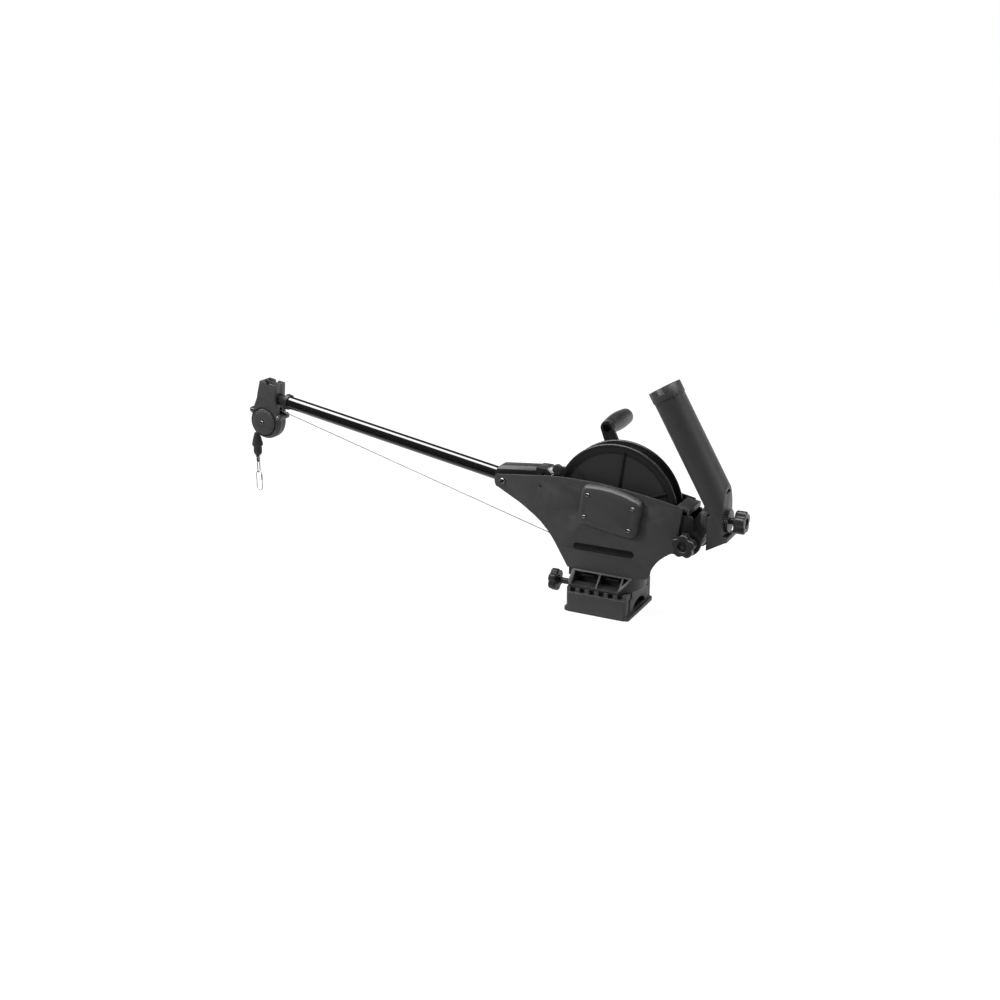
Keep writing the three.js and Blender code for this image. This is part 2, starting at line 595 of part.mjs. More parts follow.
// side is -1 for the near plate and 1 for the far one
function makePlate(side) {
  const outer = frame.halfWidth;
  const inner = outer - frame.plate;
  const y = side < 0 ? [-outer, -inner] : [inner, outer];
  const flat = slabY(plateOutline(side), y, frame.arcSteps);
  const behind = [frame.bendX, frame.rearTop[0] + overrun];
  const ahead = [frame.noseTip[0] - overrun, frame.bendX];
  const tall = [frame.bottomZ - overrun, frame.crest[1] + overrun];
  const wide = [y[0] - overrun, y[1] + overrun];
  const body = common(flat, block(behind, wide, tall));
  const nose = common(flat, block(ahead, wide, tall));
  const position = nose.attributes.position;
  for (let i = 0; i < position.count; i += 1) {
    position.setY(i, position.getY(i) - side * plateInwards(position.getX(i)));
  }
  const through = [-outer - overrun, outer + overrun];
  const near = side < 0;
  const holes = [
    barY(bush.barrelRadius + seat, near ? [-outer - overrun, 0] : [0, outer + overrun], reel.x, reel.z, 20),
    barY(boomBolt.shankRadius + running, through, boom.boltX, boom.boltZ, 12),
  ];
  if (near) {
    holes.push(barY(tie.holeRadius, [-outer - overrun, 0], tie.x, tie.z, 10));
    holes.push(barY(pawl.pinRadius + seat, [-outer - overrun, 0], pawl.pivotX, pawl.pivotZ, 10));
    holes.push(slabY(roundedRectangle(badge.length / 2 + badge.gap, badge.height / 2 + badge.gap,
      badge.height / 2, badge.x, badge.z), [-outer - overrun, badge.recess - outer], 4));
    for (const [x, z] of coverScrewPlaces()) {
      holes.push(barY(screw.shankRadius + seat, [-outer - overrun, 0], ...fromCover(x, z), 10));
    }
  }
  return cut(join(body, nose), ...holes);
}

function coverScrewPlaces() {
  const { screwX, screwZ } = axleCover;
  return [[-screwX, screwZ], [screwX, screwZ], [-screwX, -screwZ], [screwX, -screwZ]];
}

function fromCover(x, z) {
  const sine = Math.sin(axleCover.tilt);
  const cosine = Math.cos(axleCover.tilt);
  return [axleCover.x + x * cosine + z * sine, axleCover.z - x * sine + z * cosine];
}

// Boom socket between the plates

function makeSleeve() {
  const f = frame;
  const innerX = counter.frontX - running;
  const shape = new THREE.Shape();
  shape.moveTo(innerX, sleeve.innerBottom);
  shape.lineTo(f.frontBendUpper[0], f.frontBendUpper[1] + overrun);
  shape.lineTo(f.noseLow[0] + overrun, f.noseLow[1] + seat);
  shape.quadraticCurveTo(f.noseTip[0], f.noseLow[1], f.noseTip[0], f.noseTip[1]);
  shape.quadraticCurveTo(f.noseTip[0], sleeve.noseTop, f.noseTop[0], sleeve.noseTop);
  shape.lineTo(innerX, sleeve.innerTop);
  shape.closePath();
  const body = slabY(shape, [-sleeve.halfWidth, sleeve.halfWidth], 4);
  const bore = barX(boom.radius + sleeve.boreGap, [-overrun - boom.outerEnd / 2, boom.innerEnd + boom.wall], 0, 0, 28)
    .rotateY(boom.tilt).translate(boom.boltX, 0, boom.boltZ);
  const bolt = barY(boomBolt.shankRadius + running, [-frame.halfWidth, frame.halfWidth], boom.boltX, boom.boltZ, 16);
  const tieRoom = barY(tie.radius + running, [-frame.halfWidth, frame.halfWidth], tie.x, tie.z, 20);
  const rise = Math.atan2(sleeve.innerTop - sleeve.noseTop, innerX - f.noseTop[0]);
  const shoulders = [-1, 1].map((side) => slabX(outline([
    [side * (sleeve.halfWidth - sleeve.shoulder), 0], [side * (sleeve.halfWidth - sleeve.shoulder), overrun],
    [side * (sleeve.halfWidth + overrun), overrun], [side * (sleeve.halfWidth + overrun), -sleeve.shoulder - overrun],
    [side * sleeve.halfWidth, -sleeve.shoulder],
  ]), [f.noseTip[0] - innerX - overrun, overrun]).rotateY(-rise).translate(innerX, 0, sleeve.innerTop));
  return cut(body, bore, bolt, tieRoom, ...shoulders);
}

function makeBoomTube() {
  const span = [-boom.outerEnd, boom.innerEnd];
  const tube = barX(boom.radius, span, 0, 0, 28);
  const bore = barX(boom.radius - boom.wall, [span[0] - overrun, span[1] + overrun], 0, 0, 20);
  const bolt = barY(boomBolt.shankRadius + running, [-frame.halfWidth, frame.halfWidth], 0, 0, 16);
  return cut(tube, bore, bolt);
}

function makeEndPlug() {
  const p = endPlug;
  const face = boom.outerEnd + seat;
  const collarEnd = face + p.collarLength;
  const neckEnd = p.neckEnd;
  const plugRadius = boom.radius - boom.wall - seat;
  return turned([
    [0, boom.outerEnd - p.plugLength], [plugRadius, boom.outerEnd - p.plugLength], [plugRadius, face],
    [p.collarRadius, face], [p.collarRadius, collarEnd], [p.neckRadius, collarEnd],
    [p.neckRadius, neckEnd], [p.spigotRadius, neckEnd], [p.spigotRadius, neckEnd + p.spigotLength],
    [0, neckEnd + p.spigotLength],
  ], 20).rotateZ(quarterTurn);
}

// Head: two shells that swivel on the end plug

// The box round the spigot, the shoulders below it and the flat sides down to the pulley
function headBox(y) {
  const h = head;
  const drop = h.ledgeDrop;
  const box = outline([
    [h.boxHalf, h.boxTop], [-h.boxHalf, h.boxTop], [-h.boxBottomHalf, -drop], [h.boxBottomHalf, -drop],
  ]);
  const shoulders = outline([
    [h.boxBottomHalf, seat - drop], [-h.boxBottomHalf, seat - drop], [-h.shoulderHalf, -h.shoulderDrop],
    [-h.sideHalf, -h.pulleyDrop], [h.sideHalf, -h.pulleyDrop], [h.shoulderHalf, -h.shoulderDrop],
  ]);
  const side = Math.sign(y[0] + y[1]);
  const proud = [y[0] + Math.min(side, 0) * h.ledge, y[1] + Math.max(side, 0) * h.ledge];
  return join(slabY(shoulders, y), slabY(box, proud));
}

function headLugs() {
  return [[-head.outerLugX, head.lugZ], [head.innerLugX, head.lugZ]];
}

function makeHeadShell(side) {
  const h = head;
  const x = -h.pulleyU;
  const z = -h.pulleyDrop;
  const y = side < 0 ? [-h.halfWidth, -seat / 2] : [seat / 2, h.halfWidth];
  const round = turned([
    [0, side * seat / 2], [h.radius, side * seat / 2], [h.radius, side * h.midHalf],
    [h.faceRadius, side * h.halfWidth], [0, side * h.halfWidth],
  ], 32).translate(x, 0, z);
  const lugs = headLugs().map(([lugX, lugZ]) => barY(h.lugRadius, y, x + lugX, z + lugZ, 14));
  const past = [-h.halfWidth - overrun, h.halfWidth + overrun];
  const pocketX = [x - h.pocketHalfX, x + h.pocketHalfX];
  const pocketY = side < 0 ? [-h.pocketReach, -h.pocketRib] : [h.pocketRib, h.pocketReach];
  const spigotEnd = x + h.boxHalf - endPlug.spigotLength;
  const vee = outline([
    [x - h.veeHalf, h.boxTop + overrun], [x - h.veeHalf, h.boxTop], [x, h.boxTop - h.veeDepth],
    [x + h.veeHalf, h.boxTop], [x + h.veeHalf, h.boxTop + overrun],
  ]);
  const veeY = side < 0 ? [-h.halfWidth - overrun, -h.pocketRib] : [h.pocketRib, h.halfWidth + overrun];
  const cuts = [
    barY(h.cavityRadius, [-h.cavityHalf, h.cavityHalf], x, z, 28),
    barY(pulley.boltRadius + running, past, x, z, 12),
    barX(endPlug.spigotRadius + running, [spigotEnd - overrun, x + h.radius + overrun], 0, 0, 16),
    barX(endPlug.neckRadius + running, [x + h.boxHalf, x + h.radius + overrun], 0, 0, 20),
    barX(endPlug.capRadius + running, [x - h.radius - overrun, spigotEnd], 0, 0, 20),
    block(pocketX, pocketY, [h.boxTop - h.pocketDepth, h.boxTop + overrun]),
    slabY(vee, veeY),
    block([x + h.boxHalf / 2, x + h.radius + overrun], [-h.slotHalf, h.slotHalf], [-h.mouthBottom, -h.mouthTop]),
    block([x - h.radius - overrun, x - h.boxHalf], [-h.slotHalf, h.slotHalf],
      [z - h.radius - overrun, z + h.lugRadius]),
  ];
  for (const [lugX, lugZ] of headLugs()) {
    cuts.push(barY(screw.shankRadius + seat, past, x + lugX, z + lugZ, 10));
  }
  if (side < 0) {
    cuts.push(turned([
      [h.ringInner, -h.halfWidth - overrun], [h.ringOuter, -h.halfWidth - overrun],
      [h.ringOuter, h.ringDepth - h.halfWidth], [h.ringInner, h.ringDepth - h.halfWidth],
    ], 28).translate(x, 0, z));
  }
  return cut(join(headBox(y).translate(x, 0, 0), round, ...lugs), ...cuts);
}

function makePulley() {
  const p = pulley;
  return turned([
    [p.boltRadius + running, -p.halfWidth], [p.radius, -p.halfWidth], [p.radius, p.lip - p.halfWidth],
    [p.groove, -p.grooveHalf], [p.groove, p.grooveHalf], [p.radius, p.halfWidth - p.lip],
    [p.radius, p.halfWidth], [p.boltRadius + running, p.halfWidth],
  ], 18).translate(-head.pulleyU, 0, -head.pulleyDrop);
}

function makePulleyCover() {
  const c = cover;
  const back = -head.halfWidth - seat;
  const hole = pulley.boltRadius + running;
  return turned([
    [hole, back], [c.radius, back], [c.radius, back - c.rimThickness], [c.radius * 0.9, back - c.thickness * 0.62],
    [c.radius * 0.7, back - c.thickness * 0.84], [c.radius * 0.4, back - c.thickness], [hole, back - c.thickness],
  ], 28).translate(-head.pulleyU, 0, -head.pulleyDrop);
}

// Axle cover on the near plate, rounded and sloping all round

function coverOutline() {
  const { halfX, halfZ, arch, corner } = axleCover;
  const shape = new THREE.Shape();
  shape.moveTo(corner - halfX, -halfZ);
  shape.quadraticCurveTo(0, -halfZ - arch / 2, halfX - corner, -halfZ);
  shape.quadraticCurveTo(halfX, -halfZ, halfX, corner - halfZ);
  shape.lineTo(halfX, halfZ - corner);
  shape.quadraticCurveTo(halfX, halfZ, halfX - corner, halfZ);
  shape.quadraticCurveTo(0, halfZ + 2 * arch, corner - halfX, halfZ);
  shape.quadraticCurveTo(-halfX, halfZ, -halfX, halfZ - corner);
  shape.lineTo(-halfX, corner - halfZ);
  shape.quadraticCurveTo(-halfX, -halfZ, corner - halfX, -halfZ);
  return shape;
}

function makeAxleCover() {
  const c = axleCover;
  const plateFace = frame.halfWidth + seat;
  const rise = c.frontY - plateFace;
  const body = new THREE.ExtrudeGeometry(coverOutline(), {
    depth: rise, bevelThickness: c.slopeDepth, bevelSize: c.slopeReach, bevelSegments: 3, curveSegments: 4,
  });
  body.rotateX(quarterTurn).translate(0, c.slopeDepth - plateFace, 0);
  const plateSide = block([-2 * c.halfX, 2 * c.halfX], [-plateFace, 2 * c.frontY], [-2 * c.halfZ, 3 * c.halfZ]);
  const cavity = slabY(roundedRectangle(c.cavityX, c.cavityZ, c.corner),
    [c.wall - c.frontY, overrun - plateFace], 3);
  const holes = coverScrewPlaces().map(([x, z]) => barY(screw.shankRadius + seat,
    [-c.frontY - overrun, overrun - plateFace], x, z, 10));
  return cut(body, plateSide, cavity, ...holes);
}

// Reel: one moulded spool with two flanges, a drum and a ribbed web

// One flange's rim from its recess to its bead and round to the inner face at the given radius
function flangeRim(side, innerRadius) {
  const r = reel;
  return [
    [r.recessRadius, side * r.discOutside], [r.flangeRadius - r.beadWidth, side * r.halfWidth],
    [r.flangeRadius - r.rimRound, side * r.halfWidth],
    [r.flangeRadius - r.rimRound * 0.2, side * (r.halfWidth - r.rimRound * 0.35)],
    [r.flangeRadius, side * (r.halfWidth + r.flangeInside) / 2],
    [r.flangeRadius - r.rimRound, side * r.flangeInside], [innerRadius, side * r.flangeInside],
  ];
}

function flangeRibs(side) {
  const r = reel;
  const ribX = [r.hubRadius - r.ribRoot, r.recessRadius + r.ribTip];
  const faces = [side * (r.discOutside + r.ribProud), side * (r.flangeInside + r.discThickness / 2)];
  const ribs = [];
  for (let i = 0; i < r.ribs; i += 1) {
    const rib = block(ribX, faces.sort((a, b) => a - b), [-r.ribThickness / 2, r.ribThickness / 2]);
    ribs.push(rib.rotateY(r.firstRib + (i / r.ribs) * fullTurn));
  }
  return ribs;
}

// The near flange carries the drum that the cable is wound on, up to the far flange
function makeSpool() {
  const r = reel;
  const bore = axle.radius + r.boreClearance;
  const drumEnd = r.flangeInside - seat;
  const spool = turned([
    [bore, -r.hubReach], [r.hubRadius, -r.hubReach], [r.hubRadius, -r.discOutside], ...flangeRim(-1, r.rimInner),
    [r.rimInner, drumEnd], [r.drumInner, drumEnd], [r.drumInner, -r.flangeInside],
    [r.hubRadius, -r.flangeInside], [r.hubRadius, drumEnd], [bore, drumEnd],
  ], r.segments);
  return join(spool, ...flangeRibs(-1)).translate(r.x, 0, r.z);
}

function makeFlange() {
  const r = reel;
  const bore = axle.radius + r.boreClearance;
  const flange = turned([
    [bore, r.hubReach], [r.hubRadius, r.hubReach], [r.hubRadius, r.discOutside], ...flangeRim(1, bore),
  ], r.segments);
  return join(flange, ...flangeRibs(1)).translate(r.x, 0, r.z);
}

// The cable's way: reel, straight run, pulley, drop

const cableWay = (() => {
  const [pulleyX, pulleyZ] = fromBoom(head.pulleyU, -head.pulleyDrop);
  const pulleyWrap = pulley.groove + seat + cable.radius;
  const reelWrap = cable.windRadius + 2 * cable.radius + seat;
  const across = Math.hypot(pulleyX - reel.x, pulleyZ - reel.z);
  const lean = Math.asin((reelWrap + pulleyWrap) / across);
  const angle = Math.atan2(pulleyZ - reel.z, pulleyX - reel.x) - lean;
  const along = [Math.cos(angle), Math.sin(angle)];
  const down = [-along[1], along[0]];
  return {
    along,
    angle,
    pulleyX,
    pulleyZ,
    pulleyWrap,
    leavesReel: [reel.x + down[0] * reelWrap, reel.z + down[1] * reelWrap],
    meetsPulley: [pulleyX - down[0] * pulleyWrap, pulleyZ - down[1] * pulleyWrap],
  };
})();

// One unbroken winding of loops, its live end at the near flange where the run leaves
function windingPoints() {
  const room = 2 * (reel.flangeInside - cable.edgeGap - cable.radius);
  const pitch = room / cable.loops;
  const steps = cable.loops * cable.stepsPerLoop;
  const last = Math.atan2(cableWay.leavesReel[1] - reel.z, cableWay.leavesReel[0] - reel.x);
  const points = [];
  const tail = (angle, y, sign) => new THREE.Vector3(
    reel.x + cable.windRadius * Math.cos(angle) - sign * 2 * cable.radius * Math.sin(angle), y,
    reel.z + cable.windRadius * Math.sin(angle) + sign * 2 * cable.radius * Math.cos(angle));
  for (let i = 0; i <= steps; i += 1) {
    const angle = last + ((steps - i) / cable.stepsPerLoop) * fullTurn;
    points.push(new THREE.Vector3(reel.x + cable.windRadius * Math.cos(angle),
      room / 2 - (i / cable.stepsPerLoop) * pitch, reel.z + cable.windRadius * Math.sin(angle)));
  }
  points.unshift(tail(last + cable.loops * fullTurn, room / 2, 1));
  points.push(tail(last, -room / 2, -1));
  return points;
}

function tubeThrough(points, radius, sides) {
  const vertices = [];
  const faces = [];
  points.forEach((point, i) => {
    const ahead = points[Math.min(i + 1, points.length - 1)].clone().sub(points[Math.max(i - 1, 0)]).normalize();
    const outwards = new THREE.Vector3(point.x - reel.x, 0, point.z - reel.z);
    outwards.addScaledVector(ahead, -outwards.dot(ahead)).normalize();
    const sideways = new THREE.Vector3().crossVectors(ahead, outwards);
    for (let k = 0; k < sides; k += 1) {
      const angle = (k / sides) * fullTurn;
      const corner = point.clone().addScaledVector(outwards, radius * Math.cos(angle));
      corner.addScaledVector(sideways, radius * Math.sin(angle));
      vertices.push(corner.x, corner.y, corner.z);
    }
  });
  for (let i = 0; i < points.length - 1; i += 1) {
    for (let k = 0; k < sides; k += 1) {
      const [a, b] = [i * sides + k, i * sides + ((k + 1) % sides)];
      faces.push(a, b, a + sides, b, b + sides, a + sides);
    }
  }
  const lastRing = (points.length - 1) * sides;
  for (let k = 1; k < sides - 1; k += 1) {
    faces.push(0, k + 1, k, lastRing, lastRing + k, lastRing + k + 1);
  }
  const geometry = new THREE.BufferGeometry();
  geometry.setAttribute('position', new THREE.Float32BufferAttribute(vertices, 3));
  geometry.setIndex(faces);
  return geometry;
}

// Least gap between one loop and the next, measured from point to point
function leastSelfGap(points) {
  let least = Infinity;
  for (let i = 0; i < points.length; i += 1) {
    for (let k = i + Math.round(cable.stepsPerLoop / 2); k < points.length; k += 1) {
      least = Math.min(least, points[i].distanceTo(points[k]) - 2 * cable.radius);
    }
  }
  return least;
}

function makeCableCore() {
  const outer = (cable.windRadius - cable.radius) * Math.cos(Math.PI / cable.stepsPerLoop) - cable.coreGap;
  const inner = reel.rimInner + seat;
  const half = reel.flangeInside - seat;
  return turned([[inner, -half], [outer, -half], [outer, half], [inner, half]], reel.segments)
    .translate(reel.x, 0, reel.z);
}

function makeCableRun(windingEnd) {
  const [x, z] = cableWay.leavesReel;
  const from = new THREE.Vector3(x, windingEnd.y, z);
  const mouth = mouthDistance() + seat;
  const to = new THREE.Vector3(cableWay.meetsPulley[0] - cableWay.along[0] * mouth, 0,
    cableWay.meetsPulley[1] - cableWay.along[1] * mouth);
  return wireAlong(new THREE.LineCurve3(from, to), cable.radius, 12);
}

// From the top of the pulley back to the head's mouth, along the cable
function mouthDistance() {
  return drop.mouthReach / Math.cos(cableWay.angle - (Math.PI - boom.tilt));
}

function makeCableDrop() {
  const w = cableWay;
  const [topX, topZ] = w.meetsPulley;
  const mouth = mouthDistance();
  const topAngle = Math.atan2(topZ - w.pulleyZ, topX - w.pulleyX);
  const arcSteps = 14;
  const way = new THREE.CurvePath();
  const at = (angle) => new THREE.Vector3(w.pulleyX + w.pulleyWrap * Math.cos(angle), 0,
    w.pulleyZ + w.pulleyWrap * Math.sin(angle));
  way.add(new THREE.LineCurve3(new THREE.Vector3(topX - w.along[0] * mouth, 0, topZ - w.along[1] * mouth), at(topAngle)));
  for (let i = 0; i < arcSteps; i += 1) {
    const angle = (share) => topAngle + (Math.PI - topAngle) * share;
    way.add(new THREE.LineCurve3(at(angle(i / arcSteps)), at(angle((i + 1) / arcSteps))));
  }
  way.add(new THREE.LineCurve3(at(Math.PI), new THREE.Vector3(w.pulleyX - w.pulleyWrap, 0, drop.bumperTop + seat)));
  return wireAlong(way, cable.radius, 25);
}

// Axle, its bushes, and the anti-reverse ratchet under the cover

function makeBush(side) {
  const b = bush;
  const inside = frame.halfWidth - frame.plate - seat;
  const bore = axle.radius + running;
  return turned([
    [bore, side * b.flangeInside], [b.flangeRadius, side * b.flangeInside], [b.flangeRadius, side * inside],
    [b.barrelRadius, side * inside], [b.barrelRadius, side * b.barrelEnd], [bore, side * b.barrelEnd],
  ], 16).translate(reel.x, 0, reel.z);
}

function makeAxle() {
  const a = axle;
  return turned([
    [0, a.nearEnd], [a.radius - a.chamfer, a.nearEnd], [a.radius, a.nearEnd + a.chamfer],
    [a.radius, a.farEnd - a.chamfer], [a.radius - a.chamfer, a.farEnd], [0, a.farEnd],
  ], 20).translate(reel.x, 0, reel.z);
}

function makeRatchet() {
  const shape = new THREE.Shape();
  for (let i = 0; i < ratchet.teeth; i += 1) {
    const angle = (i / ratchet.teeth) * fullTurn;
    const tip = [ratchet.radius * Math.cos(angle), ratchet.radius * Math.sin(angle)];
    const root = [ratchet.rootRadius * Math.cos(angle), ratchet.rootRadius * Math.sin(angle)];
    if (i === 0) shape.moveTo(...root);
    else shape.lineTo(...root);
    shape.lineTo(...tip);
  }
  const wheel = slabY(shape, [ratchet.nearY, ratchet.farY]);
  const bore = barY(axle.radius + reel.boreClearance, [ratchet.nearY - overrun, ratchet.farY + overrun], 0, 0, 16);
  return cut(wheel, bore).translate(reel.x, 0, reel.z);
}

function makePawl() {
  const p = pawl;
  const reach = ratchet.radius + p.tipGap;
  const tipX = reel.x + reach * Math.cos(p.tipAngle);
  const tipZ = reel.z + reach * Math.sin(p.tipAngle);
  const outX = tipX + p.tipWidth * Math.cos(p.tipAngle);
  const outZ = tipZ + p.tipWidth * Math.sin(p.tipAngle);
  const arm = slabY(outline([
    [p.pivotX - p.hubRadius * 0.8, p.pivotZ], [p.pivotX + p.hubRadius * 0.6, p.pivotZ],
    [tipX, tipZ], [outX, outZ],
  ]), [p.nearY, p.farY]);
  const hub = barY(p.hubRadius, [p.nearY, p.farY], p.pivotX, p.pivotZ, 14);
  return cut(join(hub, arm), barY(p.pinRadius + running, [p.nearY - overrun, p.farY + overrun], p.pivotX, p.pivotZ, 10));
}

// Line counter on top of the frame, turned by a wheel on the reel's rim

function makeCounterHousing() {
  const c = counter;
  const shape = outline([
    [c.frontX, c.bottomZ], [c.rearX, c.bottomZ], [c.rearX, c.topZ - c.windowBevel],
    [c.rearX - c.windowBevel, c.topZ], [c.frontX, c.topZ],
  ]);
  const body = slabY(shape, [c.nearY, c.farY]);
  const room = c.wheelRadius + running;
  const inside = [c.nearY + c.wall, c.farY - c.wall];
  const hollow = barY(room, inside, c.x, c.z, 20);
  const sight = block([c.rearX - c.windowBevel, c.rearX + overrun], [inside[0] + c.wall, inside[1] - c.wall],
    [c.z - c.wall, c.topZ + overrun]);
  const shaft = barY(c.shaftRadius + running, [c.nearY - overrun, c.farY + overrun], c.x, c.z, 10);
  const armY = [c.armInner - c.armThickness, c.armInner];
  const arm = join(
    barY(c.armHalf, armY, c.driveX, driveZ(), 16),
    slabY(outline([
      [c.rearX - c.wall, c.bottomZ + c.wall], [c.rearX - c.wall, c.z - 2 * c.wall], [c.rearX + c.wall, c.z - 2 * c.wall],
      [c.driveX - c.armHalf * 0.8, driveZ() + c.armHalf * 0.6], [c.driveX + c.armHalf * 0.8, driveZ() - c.armHalf * 0.6],
    ]), armY),
  );
  const armHole = barY(c.driveShaftRadius + running, [armY[0] - overrun, armY[1] + overrun], c.driveX, driveZ(), 10);
  const reelRoom = barY(reel.flangeRadius + seat, [-reel.halfWidth - overrun, -reel.flangeInside + seat], reel.x, reel.z, 48);
  return cut(join(cut(body, hollow, sight), arm), shaft, armHole, reelRoom);
}

// The drive wheel's height puts its tread on the reel's rim
function driveZ() {
  const reach = reel.flangeRadius + counter.driveRadius + seat;
  return reel.z + Math.sqrt(reach ** 2 - (counter.driveX - reel.x) ** 2);
}

function makeCounterWindow() {
  const c = counter;
  const inside = [c.nearY + 2 * c.wall + seat, c.farY - 2 * c.wall - seat];
  const shape = outline([
    [c.rearX - c.windowBevel + seat, c.topZ - seat], [c.rearX - c.windowBevel + seat, c.topZ - c.wall - 2 * seat],
    [c.rearX - c.wall, c.topZ - c.windowBevel - seat], [c.rearX - c.wall, c.z - c.wall + seat], [c.rearX, c.z - c.wall + seat], [c.rearX, c.topZ - c.windowBevel],
  ]);
  return slabY(shape, inside);
}

function makeDigitWheel(place) {
  const c = counter;
  const centre = (c.nearY + c.farY) / 2 + (place - 1) * (c.digitWidth + c.digitGap);
  const y = [centre - c.digitWidth / 2, centre + c.digitWidth / 2];
  return cut(barY(c.wheelRadius, y, c.x, c.z, 20),
    barY(c.shaftRadius + running, [y[0] - overrun, y[1] + overrun], c.x, c.z, 10));
}

function makeCounterShaft() {
  const c = counter;
  return barY(c.shaftRadius, [c.nearY + seat, c.farY - seat], c.x, c.z, 10);
}

function makeDriveWheel() {
  const c = counter;
  const end = c.driveY + c.driveWidth;
  return turned([
    [0, c.driveY], [c.driveRadius - c.wall / 2, c.driveY], [c.driveRadius, c.driveY + c.wall / 2],
    [c.driveRadius, end - c.wall / 2], [c.driveRadius - c.wall / 2, end], [c.driveShaftRadius, end],
    [c.driveShaftRadius, c.armInner], [0, c.armInner],
  ], 20).translate(c.driveX, 0, driveZ());
}

// Rear top wall between the plates
function makeBridge() {
  const b = bridge;
  const [topX, topZ] = frame.rearTop;
  const at = (x) => topZ - b.drop - (x - topX) * b.slope;
  const shape = outline([
    [b.frontX, at(b.frontX)], [b.frontX, at(b.frontX) - b.thickness], [b.rearX - b.thickness, at(b.rearX) - b.thickness],
    [b.rearX - b.thickness, at(b.rearX) - b.lipHeight], [b.rearX, at(b.rearX) - b.lipHeight], [b.rearX, at(b.rearX)],
  ]);
  const half = frame.halfWidth - frame.plate - seat;
  const reelRoom = barY(reel.flangeRadius + b.reelClearance, [-half - overrun, half + overrun], reel.x, reel.z, 48);
  return cut(slabY(shape, [-half, half]), reelRoom);
}

// Rod holder: bracket ears between the plates, elbow, tube and two knobs

function makeRodBracket() {
  const b = rodBracket;
  const half = frame.halfWidth - frame.plate - seat;
  const ear = (y) => {
    const cheek = outline([
      [b.frontX, b.wallBottom], [b.x, b.z - b.earRadius], [b.x, b.z], [b.cheekRearX, b.z + b.earRadius / 2],
      [b.cheekRearX, b.cheekTop - b.earThickness], [b.cheekRearX - b.earThickness, b.cheekTop],
      [b.frontX, b.cheekTop],
    ]);
    return join(slabY(cheek, y), barY(b.earRadius, y, b.x, b.z, 24));
  };
  const wall = block([b.frontX, b.wallRearX], [-half, half], [b.wallBottom, b.wallTop]);
  const hole = barY(elbow.boltRadius + running, [-half - overrun, half + overrun], b.x, b.z, 16);
  const reelRoom = barY(reel.flangeRadius + bridge.reelClearance, [-half - overrun, half + overrun], reel.x, reel.z, 48);
  const ears = join(ear([-half, b.earThickness - half]), wall, ear([half - b.earThickness, half]));
  return cut(ears, hole, reelRoom);
}

function makeElbow() {
  const e = elbow;
  const b = rodBracket;
  const padFace = rod.x - rod.heelFront - seat;
  const padBack = padFace - e.padThickness;
  const arm = slabY(outline([
    [b.x - e.armFrontReach, b.z + e.armFrontRise], [padBack, rod.z + e.padRadius - e.padRound],
    [padFace, rod.z + e.padRadius - e.padRound], [padFace, rod.z - e.padRadius + e.padRound],
    [b.x + e.armBackReach, b.z - e.armBackDrop],
  ]), [-e.armHalf, e.armHalf]);
  const pad = barX(e.padRadius, [padBack, padFace], 0, rod.z, 28);
  const barrel = barY(e.barrelRadius, [-e.barrelHalf, e.barrelHalf], b.x, b.z, 24);
  const hole = barY(e.boltRadius + running, [-e.barrelHalf - overrun, e.barrelHalf + overrun], b.x, b.z, 12);
  const swingHole = barX(e.boltRadius + running, [padFace - 3 * e.padThickness, padFace + overrun], 0, rod.z, 12);
  return cut(join(barrel, arm, pad), hole, swingHole);
}

// In the tube's own axes, Z up the tube; what follows the level swing bolt is turned back to it
function makeRodTube() {
  const r = rod;
  const level = (geometry) => geometry.rotateY(-r.tilt);
  const wide = [-r.collarRadius - overrun, r.collarRadius + overrun];
  const tube = barZ(r.radius, [r.bottom, r.top - r.collarLength / 2], 0, 0, 32);
  const collar = barZ(r.collarRadius, [r.top - r.collarLength, r.top], 0, 0, 32);
  const heel = level(block([-r.heelFront, r.backReach], [-r.heelHalf, r.heelHalf], [r.heelBottom, r.heelTop]));
  const bore = barZ(r.boreRadius, [r.boreFloor, r.top + overrun], 0, 0, 28);
  const notch = block([-r.notchWidth / 2, r.notchWidth / 2], [wide[0], 0], [r.top - r.notchDepth, r.top + overrun]);
  const boltHole = level(barX(elbow.boltRadius + running, [-r.heelFront - overrun, r.radius], 0, 0, 12));
  const below = block([-2 * r.radius, 2 * r.radius], wide, [r.bottom - 2 * r.radius, r.bottom]);
  const behind = level(block([r.backReach, r.backReach + 2 * r.radius], wide, [-2 * r.radius, 3 * r.radius]));
  const knobSeat = level(block([r.knobSeat, r.backReach + overrun], wide, [-r.knobSeatHalf, 3 * r.radius]));
  const padRoom = level(barX(elbow.padRadius + r.padRoom, [-r.heelFront - r.radius, -r.heelFront], 0, 0, 28));
  return cut(join(tube, collar, heel), bore, notch, boltHole, below, behind, knobSeat, padRoom);
}

function makeSwingKnob() {
  const r = rod;
  const k = swingKnob;
  const reach = k.faceX + r.heelFront + elbow.padThickness;
  const knob = handKnob(k, elbow.boltRadius, reach).rotateY(quarterTurn).translate(k.faceX, 0, 0);
  const washer = barX(r.washerRadius, [r.knobSeat + seat, r.knobSeat + seat + r.washerThickness], 0, 0, 24);
  const hub = barX(elbow.collarRadius, [r.knobSeat + seat, k.faceX + k.seatReach], 0, 0, 12);
  return join(knob, washer, hub).translate(r.x, 0, r.z);
}

function makeTiltKnob() {
  const b = rodBracket;
  const far = frame.halfWidth - frame.plate;
  const knob = handKnob(tiltKnob, elbow.boltRadius, far - tiltKnob.faceY).rotateX(quarterTurn)
    .translate(b.x, tiltKnob.faceY, b.z);
  const hub = barY(elbow.collarRadius, [tiltKnob.faceY - tiltKnob.seatReach, -far], b.x, b.z, 16);
  return join(knob, hub);
}

// Crank: clutch on the axle, arm, nut, and a grip that turns on its bolt

